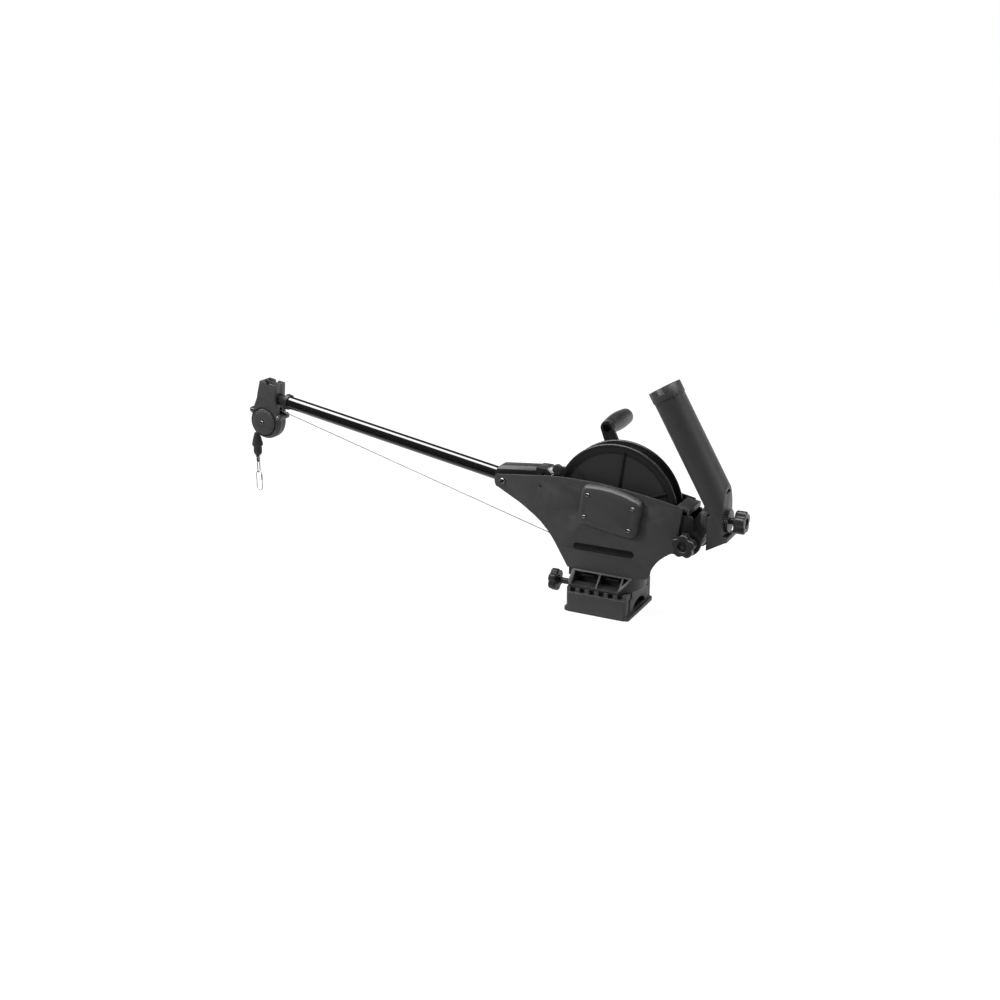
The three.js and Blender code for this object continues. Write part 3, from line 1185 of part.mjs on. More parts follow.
function makeClutchDisc() {
  return turned([
    [axle.radius + reel.boreClearance, crank.clutchNear], [crank.clutchRadius, crank.clutchNear],
    [crank.clutchRadius, crank.clutchFar], [axle.radius + reel.boreClearance, crank.clutchFar],
  ], 32).translate(reel.x, 0, reel.z);
}

function makeClutchPad() {
  return turned([
    [crank.padInner, crank.clutchFar + seat], [crank.padRadius, crank.clutchFar + seat],
    [crank.padRadius, crank.padFar], [crank.padInner, crank.padFar],
  ], 28).translate(reel.x, 0, reel.z);
}

function makeCrankArm() {
  const c = crank;
  const length = Math.hypot(c.gripX - reel.x, c.gripZ - reel.z);
  const arm = (hubRadius, endRadius) => {
    const lean = Math.acos((hubRadius - endRadius) / length);
    const shape = new THREE.Shape();
    shape.absarc(0, 0, hubRadius, lean, fullTurn - lean, false);
    shape.absarc(length, 0, endRadius, -lean, lean, false);
    return shape;
  };
  const body = slabY(arm(c.hubRadius, c.endRadius), [c.armNear, c.armFar], 6);
  const recess = cut(slabY(arm(c.hubRadius - c.recessWall, c.endRadius - c.recessWall),
    [c.armFar - c.recess, c.armFar + overrun], 6),
  barY(c.hubRadius, [c.armNear, c.armFar + 2 * overrun], 0, 0, 24),
  barY(c.endRadius, [c.armNear, c.armFar + 2 * overrun], length, 0, 16));
  const hub = turned([
    [0, c.hubStart], [c.hubRadius, c.hubStart], [c.hubRadius, c.hubEnd - c.recess],
    [c.hubRadius - c.recess, c.hubEnd], [0, c.hubEnd],
  ], 24);
  const bore = barY(axle.radius + seat, [c.hubStart - overrun, c.hubEnd + overrun]);
  const boltHole = barY(grip.boltRadius + seat, [c.armNear - overrun, c.armFar + overrun], length, 0, 12);
  const turn = Math.atan2(c.gripZ - reel.z, c.gripX - reel.x);
  return cut(join(cut(body, recess), hub), bore, boltHole).rotateY(-turn).translate(reel.x, 0, reel.z);
}

function makeCrankNut() {
  const bore = barY(axle.radius + seat, [crank.hubEnd - overrun, crank.nutEnd + overrun]);
  const nut = barY(crank.nutRadius, [crank.hubEnd + seat, crank.nutEnd], 0, 0, 6);
  return cut(nut, bore).translate(reel.x, 0, reel.z);
}

function makeGrip() {
  const g = grip;
  const end = g.start + g.length;
  const bore = g.boltRadius + running;
  const profile = [[bore, g.start], [g.rootRadius - g.rootChamfer, g.start], [g.rootRadius, g.start + g.rootChamfer]];
  for (let i = 1; i < g.shareSteps; i += 1) {
    const share = i / g.shareSteps;
    const straight = g.rootRadius + (g.tipRadius - g.rootRadius) * share;
    const belly = (g.bellyRadius - (g.rootRadius + g.tipRadius) / 2) * Math.sin(Math.PI * share);
    profile.push([straight + belly, g.start + (g.length - g.tipRadius / 2) * share]);
  }
  profile.push([g.tipRadius, end - g.tipRadius * 0.45], [g.tipRadius * 0.8, end - g.tipRadius * 0.15],
    [g.tipRadius * 0.4, end], [0, end]);
  const inner = [[0, g.boltEnd + running], [bore, g.boltEnd + running]];
  const shell = new THREE.LatheGeometry([...profile, ...inner, profile[0]].map(([r, y]) => new THREE.Vector2(r, y)), 16);
  return shell.translate(crank.gripX, 0, crank.gripZ);
}

function makeGripBolt() {
  const g = grip;
  const seatY = crank.armNear - seat;
  return turned([
    [0, seatY - g.boltHeadHeight], [g.boltHeadRadius, seatY - g.boltHeadHeight], [g.boltHeadRadius, seatY],
    [g.boltRadius, seatY], [g.boltRadius, g.boltEnd], [0, g.boltEnd],
  ], 14).translate(crank.gripX, 0, crank.gripZ);
}

// Terminator on the end of the cable: bumper, crimp, swivel and snap

const hangX = () => cableWay.pulleyX - cableWay.pulleyWrap;

function makeBumper() {
  const b = bumper;
  return turnedZ([
    [b.boreRadius, drop.bumperTop], [b.topRadius, drop.bumperTop], [b.shoulderRadius, b.shoulderZ],
    [b.bellyRadius, b.bellyZ], [b.bellyRadius * 0.9, b.bellyZ - b.round], [b.collarRadius * 0.92, b.waistZ],
    [b.collarRadius, b.waistZ - b.round], [b.collarRadius, b.bottom + 2 * b.round],
    [b.collarRadius * 0.78, b.bottom], [b.socketRadius, b.bottom],
    [b.socketRadius, b.socketTop], [b.boreRadius, b.socketTop],
  ], 16).translate(hangX(), 0, 0);
}

function makeCrimp() {
  const c = crimp;
  const skirtTop = bumper.bottom - c.round;
  return turnedZ([
    [0, c.top], [c.radius, c.top], [c.radius, skirtTop], [c.mouthRadius, skirtTop - c.round],
    [c.mouthRadius, c.bottom + c.round], [c.mouthRadius * 0.8, c.bottom], [c.stemHole, c.bottom],
    [c.stemHole, c.stemHoleTop], [0, c.stemHoleTop],
  ], 16).translate(hangX(), 0, 0);
}

function makeSwivel() {
  const s = swivel;
  const body = turnedZ([
    [0, s.stemTop], [s.stemRadius, s.stemTop], [s.stemRadius, s.barrelTop], [s.barrelRadius * 0.8, s.barrelTop],
    [s.barrelRadius, s.barrelTop - s.round], [s.barrelRadius, s.barrelBottom + s.round],
    [s.barrelRadius * 0.6, s.barrelBottom], [0, s.barrelBottom],
  ], 14);
  const eye = longLink(s.eyeRadius, s.eyeWire, s.eyeHalf).rotateZ(quarterTurn)
    .translate(0, 0, eyeCentreZ());
  return join(body, eye).translate(hangX(), 0, 0);
}

const eyeCentreZ = () => swivel.barrelBottom - swivel.eyeHalf - swivel.eyeRadius + swivel.eyeWire / 2;
const eyeBottomZ = () => eyeCentreZ() - swivel.eyeHalf - swivel.eyeRadius;

function makeSnap() {
  const s = snap;
  const topZ = eyeBottomZ() + swivel.eyeWire + s.wire + seat;
  const centreZ = topZ - s.radius - s.half;
  const link = longLink(s.radius, s.wire, s.half).translate(0, 0, centreZ);
  const clasp = barZ(s.claspRadius, [centreZ + s.half - s.claspLength, centreZ + s.half], s.radius, 0, 10);
  return join(link, clasp).translate(hangX(), 0, 0);
}

// The pieces, body by body

addPiece('mounting_base', makeBase(), finish.mattePlastic);
addPiece('lock_knob', makeLockKnob(), finish.knobPlastic);

addPiece('frame_foot', makeFoot(), finish.ribbedPlastic);
addPiece('near_side_plate', makePlate(-1), finish.mattePlastic);
addPiece('far_side_plate', makePlate(1), finish.mattePlastic);
addPiece('boom_sleeve', makeSleeve(), finish.ribbedPlastic);
addPiece('rear_bridge', makeBridge(), finish.mattePlastic);
addPiece('tie_spacer', barY(tie.radius, [-frame.halfWidth + frame.plate + seat, frame.halfWidth - frame.plate - seat],
  tie.x, tie.z, 18), finish.darkSteel);

addPiece('boom_tube', makeBoomTube(), finish.glossBlack, boomGroup);
const boomSeat = frame.halfWidth - plateInwards(boom.boltX + boomBolt.nutRadius) + seat;
addPiece('boom_bolt', panScrew(boomBolt.headRadius, boomBolt.headHeight, boomBolt.shankRadius,
  2 * boomSeat + boomBolt.nutHeight, screw.crown).translate(0, -boomSeat, 0), finish.brightSteel, boomGroup);
addPiece('boom_nut', cut(barY(boomBolt.nutRadius, [boomSeat, boomSeat + boomBolt.nutHeight], 0, 0, 6),
  barY(boomBolt.shankRadius + seat, [0, boomSeat + boomBolt.nutHeight + overrun], 0, 0, 12)),
finish.brightSteel, boomGroup);
addPiece('boom_end_plug', makeEndPlug(), finish.ribbedPlastic, boomGroup);
const capStart = endPlug.neckEnd + endPlug.spigotLength + seat;
addPiece('swivel_cap', barX(endPlug.capRadius, [-capStart - endPlug.capThickness, -capStart], 0, 0, 24),
  finish.ribbedPlastic, boomGroup);

addPiece('head_shell_near', makeHeadShell(-1), finish.mattePlastic, boomGroup);
addPiece('head_shell_far', makeHeadShell(1), finish.mattePlastic, boomGroup);
addPiece('pulley', makePulley(), finish.ribbedPlastic, boomGroup);
addPiece('pulley_cover', makePulleyCover(), finish.knobPlastic, boomGroup);
addPiece('pulley_bolt', panScrew(cover.boltHeadRadius, cover.boltHeadHeight, pulley.boltRadius - seat,
  2 * head.halfWidth + cover.thickness, screw.crown)
  .translate(-head.pulleyU, -head.halfWidth - cover.thickness - 2 * seat, -head.pulleyDrop), finish.brightSteel, boomGroup);
headLugs().forEach(([x, z], i) => {
  addPiece(`head_screw_${i + 1}`, panScrew(screw.headRadius, screw.headHeight, screw.shankRadius,
    2 * head.halfWidth, screw.crown)
    .translate(x - head.pulleyU, -head.halfWidth - seat, z - head.pulleyDrop),
  finish.brightSteel, boomGroup);
});

addPiece('axle_cover', makeAxleCover(), finish.mattePlastic, coverGroup);
coverScrewPlaces().forEach(([x, z], i) => {
  addPiece(`cover_screw_${i + 1}`, panScrew(screw.headRadius, screw.headHeight, screw.shankRadius,
    axleCover.frontY - frame.halfWidth + frame.plate, screw.crown)
    .translate(x, -axleCover.frontY - seat, z), finish.brightSteel, coverGroup);
});
addPiece('badge_insert', slabY(roundedRectangle(badge.length / 2, badge.height / 2, badge.height / 2 - seat,
  badge.x, badge.z), [-frame.halfWidth + badge.recess - seat - badge.thickness, -frame.halfWidth + badge.recess - seat]),
finish.ribbedPlastic);

addPiece('axle_bush_near', makeBush(-1), finish.darkSteel);
addPiece('axle_bush_far', makeBush(1), finish.darkSteel);
addPiece('pawl_pin', barY(pawl.pinRadius, [pawl.pinEnd, -frame.halfWidth + frame.plate], pawl.pivotX, pawl.pivotZ, 14),
  finish.brightSteel);
addPiece('pawl', makePawl(), finish.darkSteel);
addPiece('ratchet_wheel', makeRatchet(), finish.darkSteel);
addPiece('reel_axle', makeAxle(), finish.brightSteel);
addPiece('reel_spool', makeSpool(), finish.ribbedPlastic);
addPiece('reel_flange', makeFlange(), finish.ribbedPlastic);

const winding = windingPoints();
console.log(`least gap between cable loops ${leastSelfGap(winding).toFixed(3)} mm`);
addPiece('cable_core', makeCableCore(), finish.cableSteel);
addPiece('cable_winding', tubeThrough(winding, cable.radius, cable.sides), finish.cableSteel);
addPiece('cable_run', makeCableRun(winding[winding.length - 1]), finish.cableSteel);
addPiece('cable_drop', makeCableDrop(), finish.cableSteel);

addPiece('counter_housing', makeCounterHousing(), finish.ribbedPlastic);
addPiece('counter_window', makeCounterWindow(), finish.clear);
addPiece('counter_shaft', makeCounterShaft(), finish.brightSteel);
['units', 'tens', 'hundreds'].forEach((name, place) => {
  addPiece(`digit_wheel_${name}`, makeDigitWheel(place), finish.digits);
});
addPiece('counter_drive_wheel', makeDriveWheel(), finish.rubber);

addPiece('rod_bracket', makeRodBracket(), finish.ribbedPlastic);
addPiece('rod_elbow', makeElbow(), finish.mattePlastic);
addPiece('rod_tilt_knob', makeTiltKnob(), finish.knobPlastic);
addPiece('rod_tube', makeRodTube(), finish.mattePlastic, rodGroup);
addPiece('rod_swing_knob', makeSwingKnob(), finish.knobPlastic);

addPiece('clutch_disc', makeClutchDisc(), finish.darkSteel);
addPiece('clutch_pad', makeClutchPad(), finish.friction);
addPiece('crank_arm', makeCrankArm(), finish.ribbedPlastic);
addPiece('crank_nut', makeCrankNut(), finish.brightSteel);
addPiece('crank_grip', makeGrip(), finish.knobPlastic);
addPiece('grip_bolt', makeGripBolt(), finish.brightSteel);

addPiece('cable_bumper', makeBumper(), finish.rubber);
addPiece('cable_crimp', makeCrimp(), finish.brightSteel);
addPiece('swivel_barrel', makeSwivel(), finish.darkSteel);
addPiece('snap_link', makeSnap(), finish.brightSteel);

export default downrigger;
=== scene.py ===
import json
import math

import bmesh
import bpy
from mathutils import Matrix, Vector

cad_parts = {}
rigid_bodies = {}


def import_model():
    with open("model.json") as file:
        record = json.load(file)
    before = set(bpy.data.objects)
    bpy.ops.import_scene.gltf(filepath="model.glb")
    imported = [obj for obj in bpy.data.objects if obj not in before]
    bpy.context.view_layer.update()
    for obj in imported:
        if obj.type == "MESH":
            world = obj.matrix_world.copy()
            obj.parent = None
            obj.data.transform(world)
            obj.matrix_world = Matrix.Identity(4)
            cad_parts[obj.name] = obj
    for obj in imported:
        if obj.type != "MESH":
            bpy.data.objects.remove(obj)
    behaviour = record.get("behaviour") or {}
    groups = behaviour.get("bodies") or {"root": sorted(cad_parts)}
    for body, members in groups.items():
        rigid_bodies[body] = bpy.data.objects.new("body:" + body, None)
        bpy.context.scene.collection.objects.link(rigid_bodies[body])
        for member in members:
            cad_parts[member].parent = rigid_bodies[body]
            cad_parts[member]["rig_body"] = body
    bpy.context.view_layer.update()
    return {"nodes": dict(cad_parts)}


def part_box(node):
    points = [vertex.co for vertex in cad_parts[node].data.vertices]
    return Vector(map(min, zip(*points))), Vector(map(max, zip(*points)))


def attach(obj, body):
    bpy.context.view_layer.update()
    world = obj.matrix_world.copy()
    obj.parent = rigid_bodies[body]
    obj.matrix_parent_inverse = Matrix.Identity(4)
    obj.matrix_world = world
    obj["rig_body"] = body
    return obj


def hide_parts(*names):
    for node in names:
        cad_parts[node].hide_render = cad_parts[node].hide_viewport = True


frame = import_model()
cadNodes = frame["nodes"]
mm = 0.001
fullTurn = 2 * math.pi
nearAxis = 1e-6  # a ring of a smaller radius is one point


# Shader maths as plain sums

class Wire:  # one output of a node, which takes part in sums
    def __init__(self, finish, socket):
        self.finish = finish
        self.socket = socket

    def reckon(self, operation, *others):
        values = dict(enumerate([self, *others]))
        return self.finish.node("ShaderNodeMath", {"operation": operation}, values)

    def reflected(self, operation, other):
        return self.finish.node("ShaderNodeMath", {"operation": operation}, {0: other, 1: self})

    def __add__(self, other): return self.reckon("ADD", other)
    def __radd__(self, other): return self.reflected("ADD", other)
    def __sub__(self, other): return self.reckon("SUBTRACT", other)
    def __rsub__(self, other): return self.reflected("SUBTRACT", other)
    def __mul__(self, other): return self.reckon("MULTIPLY", other)
    def __rmul__(self, other): return self.reflected("MULTIPLY", other)
    def __pow__(self, other): return self.reckon("POWER", other)
    def __rpow__(self, other): return self.reflected("POWER", other)

    def between(self, low, high):  # 0 at low and 1 at high
        values = {"Value": self, "From Min": low, "From Max": high}
        return self.finish.node("ShaderNodeMapRange", {"clamp": True}, values)

    def band(self, rise, fall):  # 1 between two soft edges, and 0 outside them
        return self.between(*rise) - self.between(*fall)


class Finish:  # a material or the world, its nodes and its surface
    def __init__(self, name, world=None):
        self.material = world or bpy.data.materials.new(name)
        self.material.use_nodes = True
        self.tree = self.material.node_tree
        self.tree.nodes.clear()

    def node(self, kind, settings=None, values=None, output=0):
        made = self.tree.nodes.new(kind)
        for key, setting in (settings or {}).items():
            setattr(made, key, setting)
        for key, value in (values or {}).items():
            if isinstance(value, Wire):
                self.tree.links.new(value.socket, made.inputs[key])
            else:
                made.inputs[key].default_value = value
        return Wire(self, made.outputs[output]) if len(made.outputs) else None

    def place(self, stretch=(1, 1, 1)):
        point = self.node("ShaderNodeTexCoord", output="Object")
        return self.node("ShaderNodeMapping", None, {"Vector": point, "Scale": stretch})

    def noise(self, scale, detail=2.0, rough=0.5, at=None):
        values = {"Vector": at or self.place(), "Scale": scale, "Detail": detail, "Roughness": rough}
        return self.node("ShaderNodeTexNoise", None, values)

    def blendColours(self, share, first, second):  # the Mix node's colour sockets are inputs 6 and 7 and output 2
        return self.node("ShaderNodeMix", {"data_type": "RGBA"}, {0: share, 6: first, 7: second}, output=2)

    def bump(self, height, strength, distance):
        return self.node("ShaderNodeBump", None, {"Height": height, "Strength": strength, "Distance": distance})

    def surface(self, values):
        self.show(self.node("ShaderNodeBsdfPrincipled", None, values))
        return self

    def show(self, shader):  # as the surface of the material or of the world
        world = isinstance(self.material, bpy.types.World)
        self.node("ShaderNodeOutputWorld" if world else "ShaderNodeOutputMaterial", None, {"Surface": shader})


def grey(level, warm=0.0):
    return (level * (1 + warm), level, level * (1 - warm), 1)


reel = {"centre": (10.3, 0, 187.4), "flangeRadius": 111.3, "halfWidth": 18, "inside": 11.2}  # millimetres


def webShare(made, look):  # 1 on a reel's web, inside its rim and between its ribs, and 0 on what stands proud; the web is painted lighter, and the rim and ribs keep the darker colour as painted shade
    point = made.place()
    x, y, z = (made.node("ShaderNodeSeparateXYZ", None, {0: point}, output=axis) for axis in "XYZ")
    x = x - reel["centre"][0] * mm
    z = z - reel["centre"][2] * mm
    inner, outer, low, high = (look[key] * mm for key in ("webEnd", "rimStart", "webFace", "ribTop"))
    return (1 - (x * x + z * z).between(inner ** 2, outer ** 2)) * (1 - y.reckon("ABSOLUTE").between(low, high))


plasticSkin = {  # what all the moulded plastics share
    "mottle": (0.3, 0.7), "mottleRough": 0.08, "edge": (0.54, 0.64), "scuffedEdge": (0.38, 0.68),
    "polished": (0.62, 0.75), "polishedRough": -0.03, "grainReach": 0.0002, "refraction": 1.5,
}


def mouldedPlastic(name, look):
    made, skin = Finish(name), plasticSkin
    mottle = made.noise(look["mottleScale"], detail=3.0)
    grain = made.noise(look["grainScale"])
    scuffs = made.noise(look["scuffScale"], detail=4.0, rough=0.6)
    # Lighter edges, found by pointiness and broken up by scuffs: partly real wear and partly a painted highlight along
    # the edges
    edges = made.node("ShaderNodeNewGeometry", output="Pointiness").between(*skin["edge"])
    edgeWearAndHighlight = edges * scuffs.between(*skin["scuffedEdge"]) * look["edgeWearAndHighlight"]
    plain = made.blendColours(mottle.between(*skin["mottle"]), grey(look["dark"]), grey(look["light"]))
    # On the reel, the web is painted lighter and the rim and the tops of the ribs keep the darker colour as painted
    # shade
    if "web" in look:
        plain = made.blendColours(webShare(made, look), plain, grey(look["web"]))
    evenRough = look["rough"] - skin["mottleRough"] / 2
    polish = scuffs.between(*skin["polished"]) * skin["polishedRough"]
    return made.surface({
        "Base Color": made.blendColours(edgeWearAndHighlight, plain, grey(look["edgeWearAndHighlightGrey"])),
        "Roughness": mottle * skin["mottleRough"] + evenRough + polish,
        "Normal": made.bump(grain, look["grainDepth"], skin["grainReach"]),
        "Specular IOR Level": look["sheen"], "IOR": skin["refraction"],
    })


plasticLook = {
    "body": {"dark": 0.0310, "light": 0.0340, "edgeWearAndHighlightGrey": 0.075, "rough": 0.5, "sheen": 0.5, "edgeWearAndHighlight": 0.4,
             "mottleScale": 34, "grainScale": 1500, "grainDepth": 0.28, "scuffScale": 60},
    "ribbed": {"dark": 0.010, "light": 0.014, "edgeWearAndHighlightGrey": 0.055, "rough": 0.46, "sheen": 0.45, "edgeWearAndHighlight": 0.6,
               "mottleScale": 42, "grainScale": 1300, "grainDepth": 0.3, "scuffScale": 75},
    # the reel's dark colour is painted shade on its rim and ribs, and its web level is a painted lighter tone
    "reel": {"dark": 0.0095, "light": 0.0120, "edgeWearAndHighlightGrey": 0.05, "rough": 0.38, "sheen": 0.5, "edgeWearAndHighlight": 0.3,
             "web": 0.0225, "webEnd": 93.5, "rimStart": 94.3, "webFace": 14.6, "ribTop": 15.4,
             "mottleScale": 30, "grainScale": 1700, "grainDepth": 0.18, "scuffScale": 50},
    "knob": {"dark": 0.015, "light": 0.021, "edgeWearAndHighlightGrey": 0.075, "rough": 0.4, "sheen": 0.5, "edgeWearAndHighlight": 0.8,
             "mottleScale": 60, "grainScale": 1900, "grainDepth": 0.2, "scuffScale": 120},
}
plasticLook["ink"] = dict(plasticLook["knob"], dark=0.008, light=0.012, edgeWearAndHighlight=0)
plasticLook["insert"] = dict(plasticLook["knob"], dark=0.006, light=0.009, rough=0.22, sheen=0.25, grainDepth=0.05,
                             edgeWearAndHighlight=0)


metalSkin = {  # what all the metals share
    "cloud": (0.3, 0.75), "cloudRough": 0.06, "darkWarm": 0.01, "lightWarm": 0.015, "brushReach": 0.0001,
}


def metal(name, look):
    made, skin = Finish(name), metalSkin
    brushed = made.noise(1.0, detail=3.0, rough=0.6, at=made.place(look["brush"]))
    cloud = made.noise(look["cloudScale"], detail=3.0)
    dark, light = grey(look["dark"], skin["darkWarm"]), grey(look["light"], skin["lightWarm"])
    return made.surface({
        "Base Color": made.blendColours(cloud.between(*skin["cloud"]), dark, light), "Metallic": 1.0,
        "Roughness": brushed * look["brushRough"] + cloud * skin["cloudRough"] + look["rough"],
        "Normal": made.bump(brushed, look["brushDepth"], skin["brushReach"]),
    })


metalLook = {
    "bright": {"dark": 0.55, "light": 0.72, "brush": (90, 2400, 90), "cloudScale": 140, "rough": 0.14,
               "brushRough": 0.12, "brushDepth": 0.1},
    "dark": {"dark": 0.26, "light": 0.36, "brush": (200, 1800, 200), "cloudScale": 90, "rough": 0.26,
             "brushRough": 0.16, "brushDepth": 0.15},
    "blackened": {"dark": 0.035, "light": 0.06, "brush": (200, 1800, 200), "cloudScale": 90, "rough": 0.32,
                  "brushRough": 0.16, "brushDepth": 0.15},
    "screw": {"dark": 0.34, "light": 0.46, "brush": (90, 1800, 90), "cloudScale": 140, "rough": 0.2,
              "brushRough": 0.14, "brushDepth": 0.1},
}


def glossPaint(name, look):
    made = Finish(name)
    peel = made.noise(look["peelScale"], detail=1.0)
    drawn = made.noise(1.0, detail=3.0, rough=0.55, at=made.place(look["drawn"]))
    smears = made.noise(look["smearScale"], detail=4.0, rough=0.6)
    rough = smears.between(*look["smeared"]) * look["smearRough"] + drawn * look["drawnRough"] + look["rough"]
    return made.surface({
        "Base Color": made.blendColours(smears.between(*look["smearShade"]), grey(look["dark"]), grey(look["light"])),
        "Roughness": rough, "Specular IOR Level": look["sheen"],
        "Coat Weight": look["coat"], "Coat Roughness": look["coatRough"],
        "Normal": made.bump(peel, look["peelDepth"], look["peelReach"]),
    })


glossLook = {"dark": 0.003, "light": 0.005, "rough": 0.07, "sheen": 0.8, "coat": 1.0, "coatRough": 0.02,
             "peelScale": 240, "peelDepth": 0.04, "peelReach": 0.0003, "drawn": (3, 500, 500), "drawnRough": 0.02,
             "smearScale": 9.0, "smearRough": 0.04, "smeared": (0.35, 0.8), "smearShade": (0.3, 0.7)}


def rubber(name, look):
    made = Finish(name)
    bloom = made.noise(look["bloomScale"], detail=4.0, rough=0.6)
    pores = made.noise(look["poreScale"])
    return made.surface({
        "Base Color": made.blendColours(bloom.between(*look["bloomed"]), grey(look["dark"]), grey(look["bloom"])),
        "Roughness": bloom * look["bloomRough"] + look["rough"], "Specular IOR Level": look["sheen"],
        "Normal": made.bump(pores, look["poreDepth"], look["poreReach"]),
    })


rubberLook = {"dark": 0.017, "bloom": 0.032, "rough": 0.55, "sheen": 0.35, "bloomScale": 120, "bloomRough": 0.15,
              "bloomed": (0.35, 0.75), "poreScale": 1600, "poreDepth": 0.35, "poreReach": 0.0002}


def strandedCable(name, look):  # the pieces' UV runs once round the cable and once per lay along it
    made = Finish(name)
    point = made.node("ShaderNodeTexCoord", output="UV")
    around, along = (made.node("ShaderNodeSeparateXYZ", None, {0: point}, output=axis) for axis in "XY")
    strands = ((around * look["strands"] + along) * fullTurn).reckon("SINE") * 0.5 + 0.5
    stain = made.noise(look["stainScale"], detail=3.0)
    # The grooves between the strands are painted darker, as shade in the creases
    groove = strands ** look["grooveWidth"]
    light, stained = grey(look["light"], look["lightWarm"]), grey(look["stained"], look["stainedWarm"])
    wire = made.blendColours(stain.between(*look["stain"]), light, stained)
    return made.surface({
        "Base Color": made.blendColours(groove, grey(look["groove"]), wire),
        "Metallic": look["metal"], "Roughness": stain * look["stainRough"] + look["rough"],
        "Normal": made.bump(groove, look["grooveDepth"], look["grooveReach"]),
    })


cableLook = {"strands": 7, "groove": 0.28, "light": 0.42, "lightWarm": 0.02, "stained": 0.34, "stainedWarm": 0.04,
             "metal": 0.3, "rough": 0.4, "stainScale": 90, "stain": (0.35, 0.7), "stainRough": 0.15,
             "grooveWidth": 0.6, "grooveDepth": 0.4, "grooveReach": 0.0002}


def fibreLining(name, look):
    made = Finish(name)
    fleck = made.noise(look["fleckScale"], detail=3.0, rough=0.7)
    return made.surface({
        "Base Color": made.blendColours(fleck.between(*look["fleck"]), look["dark"], look["light"]),
        "Roughness": fleck * look["fleckRough"] + look["rough"],
        "Normal": made.bump(fleck, look["fleckDepth"], look["fleckReach"]),
    })


liningLook = {"dark": (0.07, 0.05, 0.035, 1), "light": (0.2, 0.15, 0.1, 1), "rough": 0.7, "fleckScale": 900,
              "fleck": (0.4, 0.62), "fleckRough": 0.2, "fleckDepth": 0.4, "fleckReach": 0.0002}


def agedWhite(name, look):
    made = Finish(name)
    aged = made.noise(look["scale"], detail=3.0)
    return made.surface({
        "Base Color": made.blendColours(aged.between(*look["shade"]), look["fresh"], look["aged"]),
        "Roughness": aged * look["agedRough"] + look["rough"],
    })


whiteLook = {"fresh": (0.78, 0.78, 0.75, 1), "aged": (0.7, 0.69, 0.63, 1), "rough": 0.35, "agedRough": 0.1,
             "scale": 160, "shade": (0.35, 0.75)}


def clearPlastic(name, look):
    made = Finish(name)
    haze = made.noise(look["hazeScale"], detail=3.0)
    return made.surface({
        "Base Color": look["tint"], "Transmission Weight": look["clear"], "IOR": look["refraction"],
        "Roughness": haze * look["haze"] + look["rough"],
    })


windowLook = {"tint": (0.93, 0.95, 0.96, 1), "clear": 0.92, "refraction": 1.46, "rough": 0.03, "haze": 0.08,
              "hazeScale": 220}

finishes = {
    "body": mouldedPlastic("bodyPlastic", plasticLook["body"]),
    "ribbed": mouldedPlastic("ribbedPlastic", plasticLook["ribbed"]),
    "reel": mouldedPlastic("reelPlastic", plasticLook["reel"]),
    "knob": mouldedPlastic("knobPlastic", plasticLook["knob"]),
    "gloss": glossPaint("glossBlack", glossLook),
    "bright": metal("brightSteel", metalLook["bright"]),
    "dark": metal("darkSteel", metalLook["dark"]),
    "screw": metal("screwSteel", metalLook["screw"]),
    "blackened": metal("blackenedSteel", metalLook["blackened"]),
    "rubber": rubber("bumperRubber", rubberLook),
    "cable": strandedCable("strandedCable", cableLook),
    "lining": fibreLining("clutchLining", liningLook),
    "white": agedWhite("numberWhite", whiteLook),
    "ink": mouldedPlastic("numberInk", plasticLook["ink"]),
    "window": clearPlastic("clearWindow", windowLook),
    "insert": mouldedPlastic("badgeInsert", plasticLook["insert"]),
}
print("finishes made:", len(finishes))


# Pieces

def linked(name, data):  # an object in the scene
    made = bpy.data.objects.new(name, data)
    bpy.context.scene.collection.objects.link(made)
    return made


def addPiece(name, mesh, finish, body, slot, *stoodFor):
    piece = linked(name, mesh)
    mesh.materials.clear()
    mesh.materials.append(finishes[finish].material)
    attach(piece, body)
    if stoodFor:
        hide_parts(*stoodFor)


def finished(shape, name, smoothUnder=35):  # a bmesh into a mesh, smooth except at its sharp edges
    bmesh.ops.recalc_face_normals(shape, faces=shape.faces)
    for face in shape.faces:
        face.smooth = True
    for edge in shape.edges:
        edge.smooth = len(edge.link_faces) != 2 or edge.calc_face_angle(0) < math.radians(smoothUnder)
    mesh = bpy.data.meshes.new(name)
    shape.to_mesh(mesh)
    shape.free()
    return mesh


def turnedShape(profile, steps=72, shape=None, matrix=None):
    # a profile of (radius, height) in millimetres turned round Z, closed on the axis or on itself
    shape = shape or bmesh.new()
    rings = []
    for radius, height in profile:
        if radius < nearAxis:
            rings.append([shape.verts.new((0, 0, height * mm))])
            continue
        rings.append([shape.verts.new((radius * mm * math.cos(fullTurn * i / steps),
                                       radius * mm * math.sin(fullTurn * i / steps), height * mm))
                      for i in range(steps)])
    pairs = list(zip(rings, rings[1:]))
    if len(rings[0]) > 1 and len(rings[-1]) > 1:
        pairs.append((rings[-1], rings[0]))
    for low, high in pairs:
        for i in range(steps):
            k = (i + 1) % steps
            corners = [low[i % len(low)], low[k % len(low)], high[k % len(high)], high[i % len(high)]]
            unique = list(dict.fromkeys(corners))
            if len(unique) > 2:
                shape.faces.new(unique)
    if matrix:
        bmesh.ops.transform(shape, matrix=matrix, verts=[v for ring in rings for v in ring])
    return shape


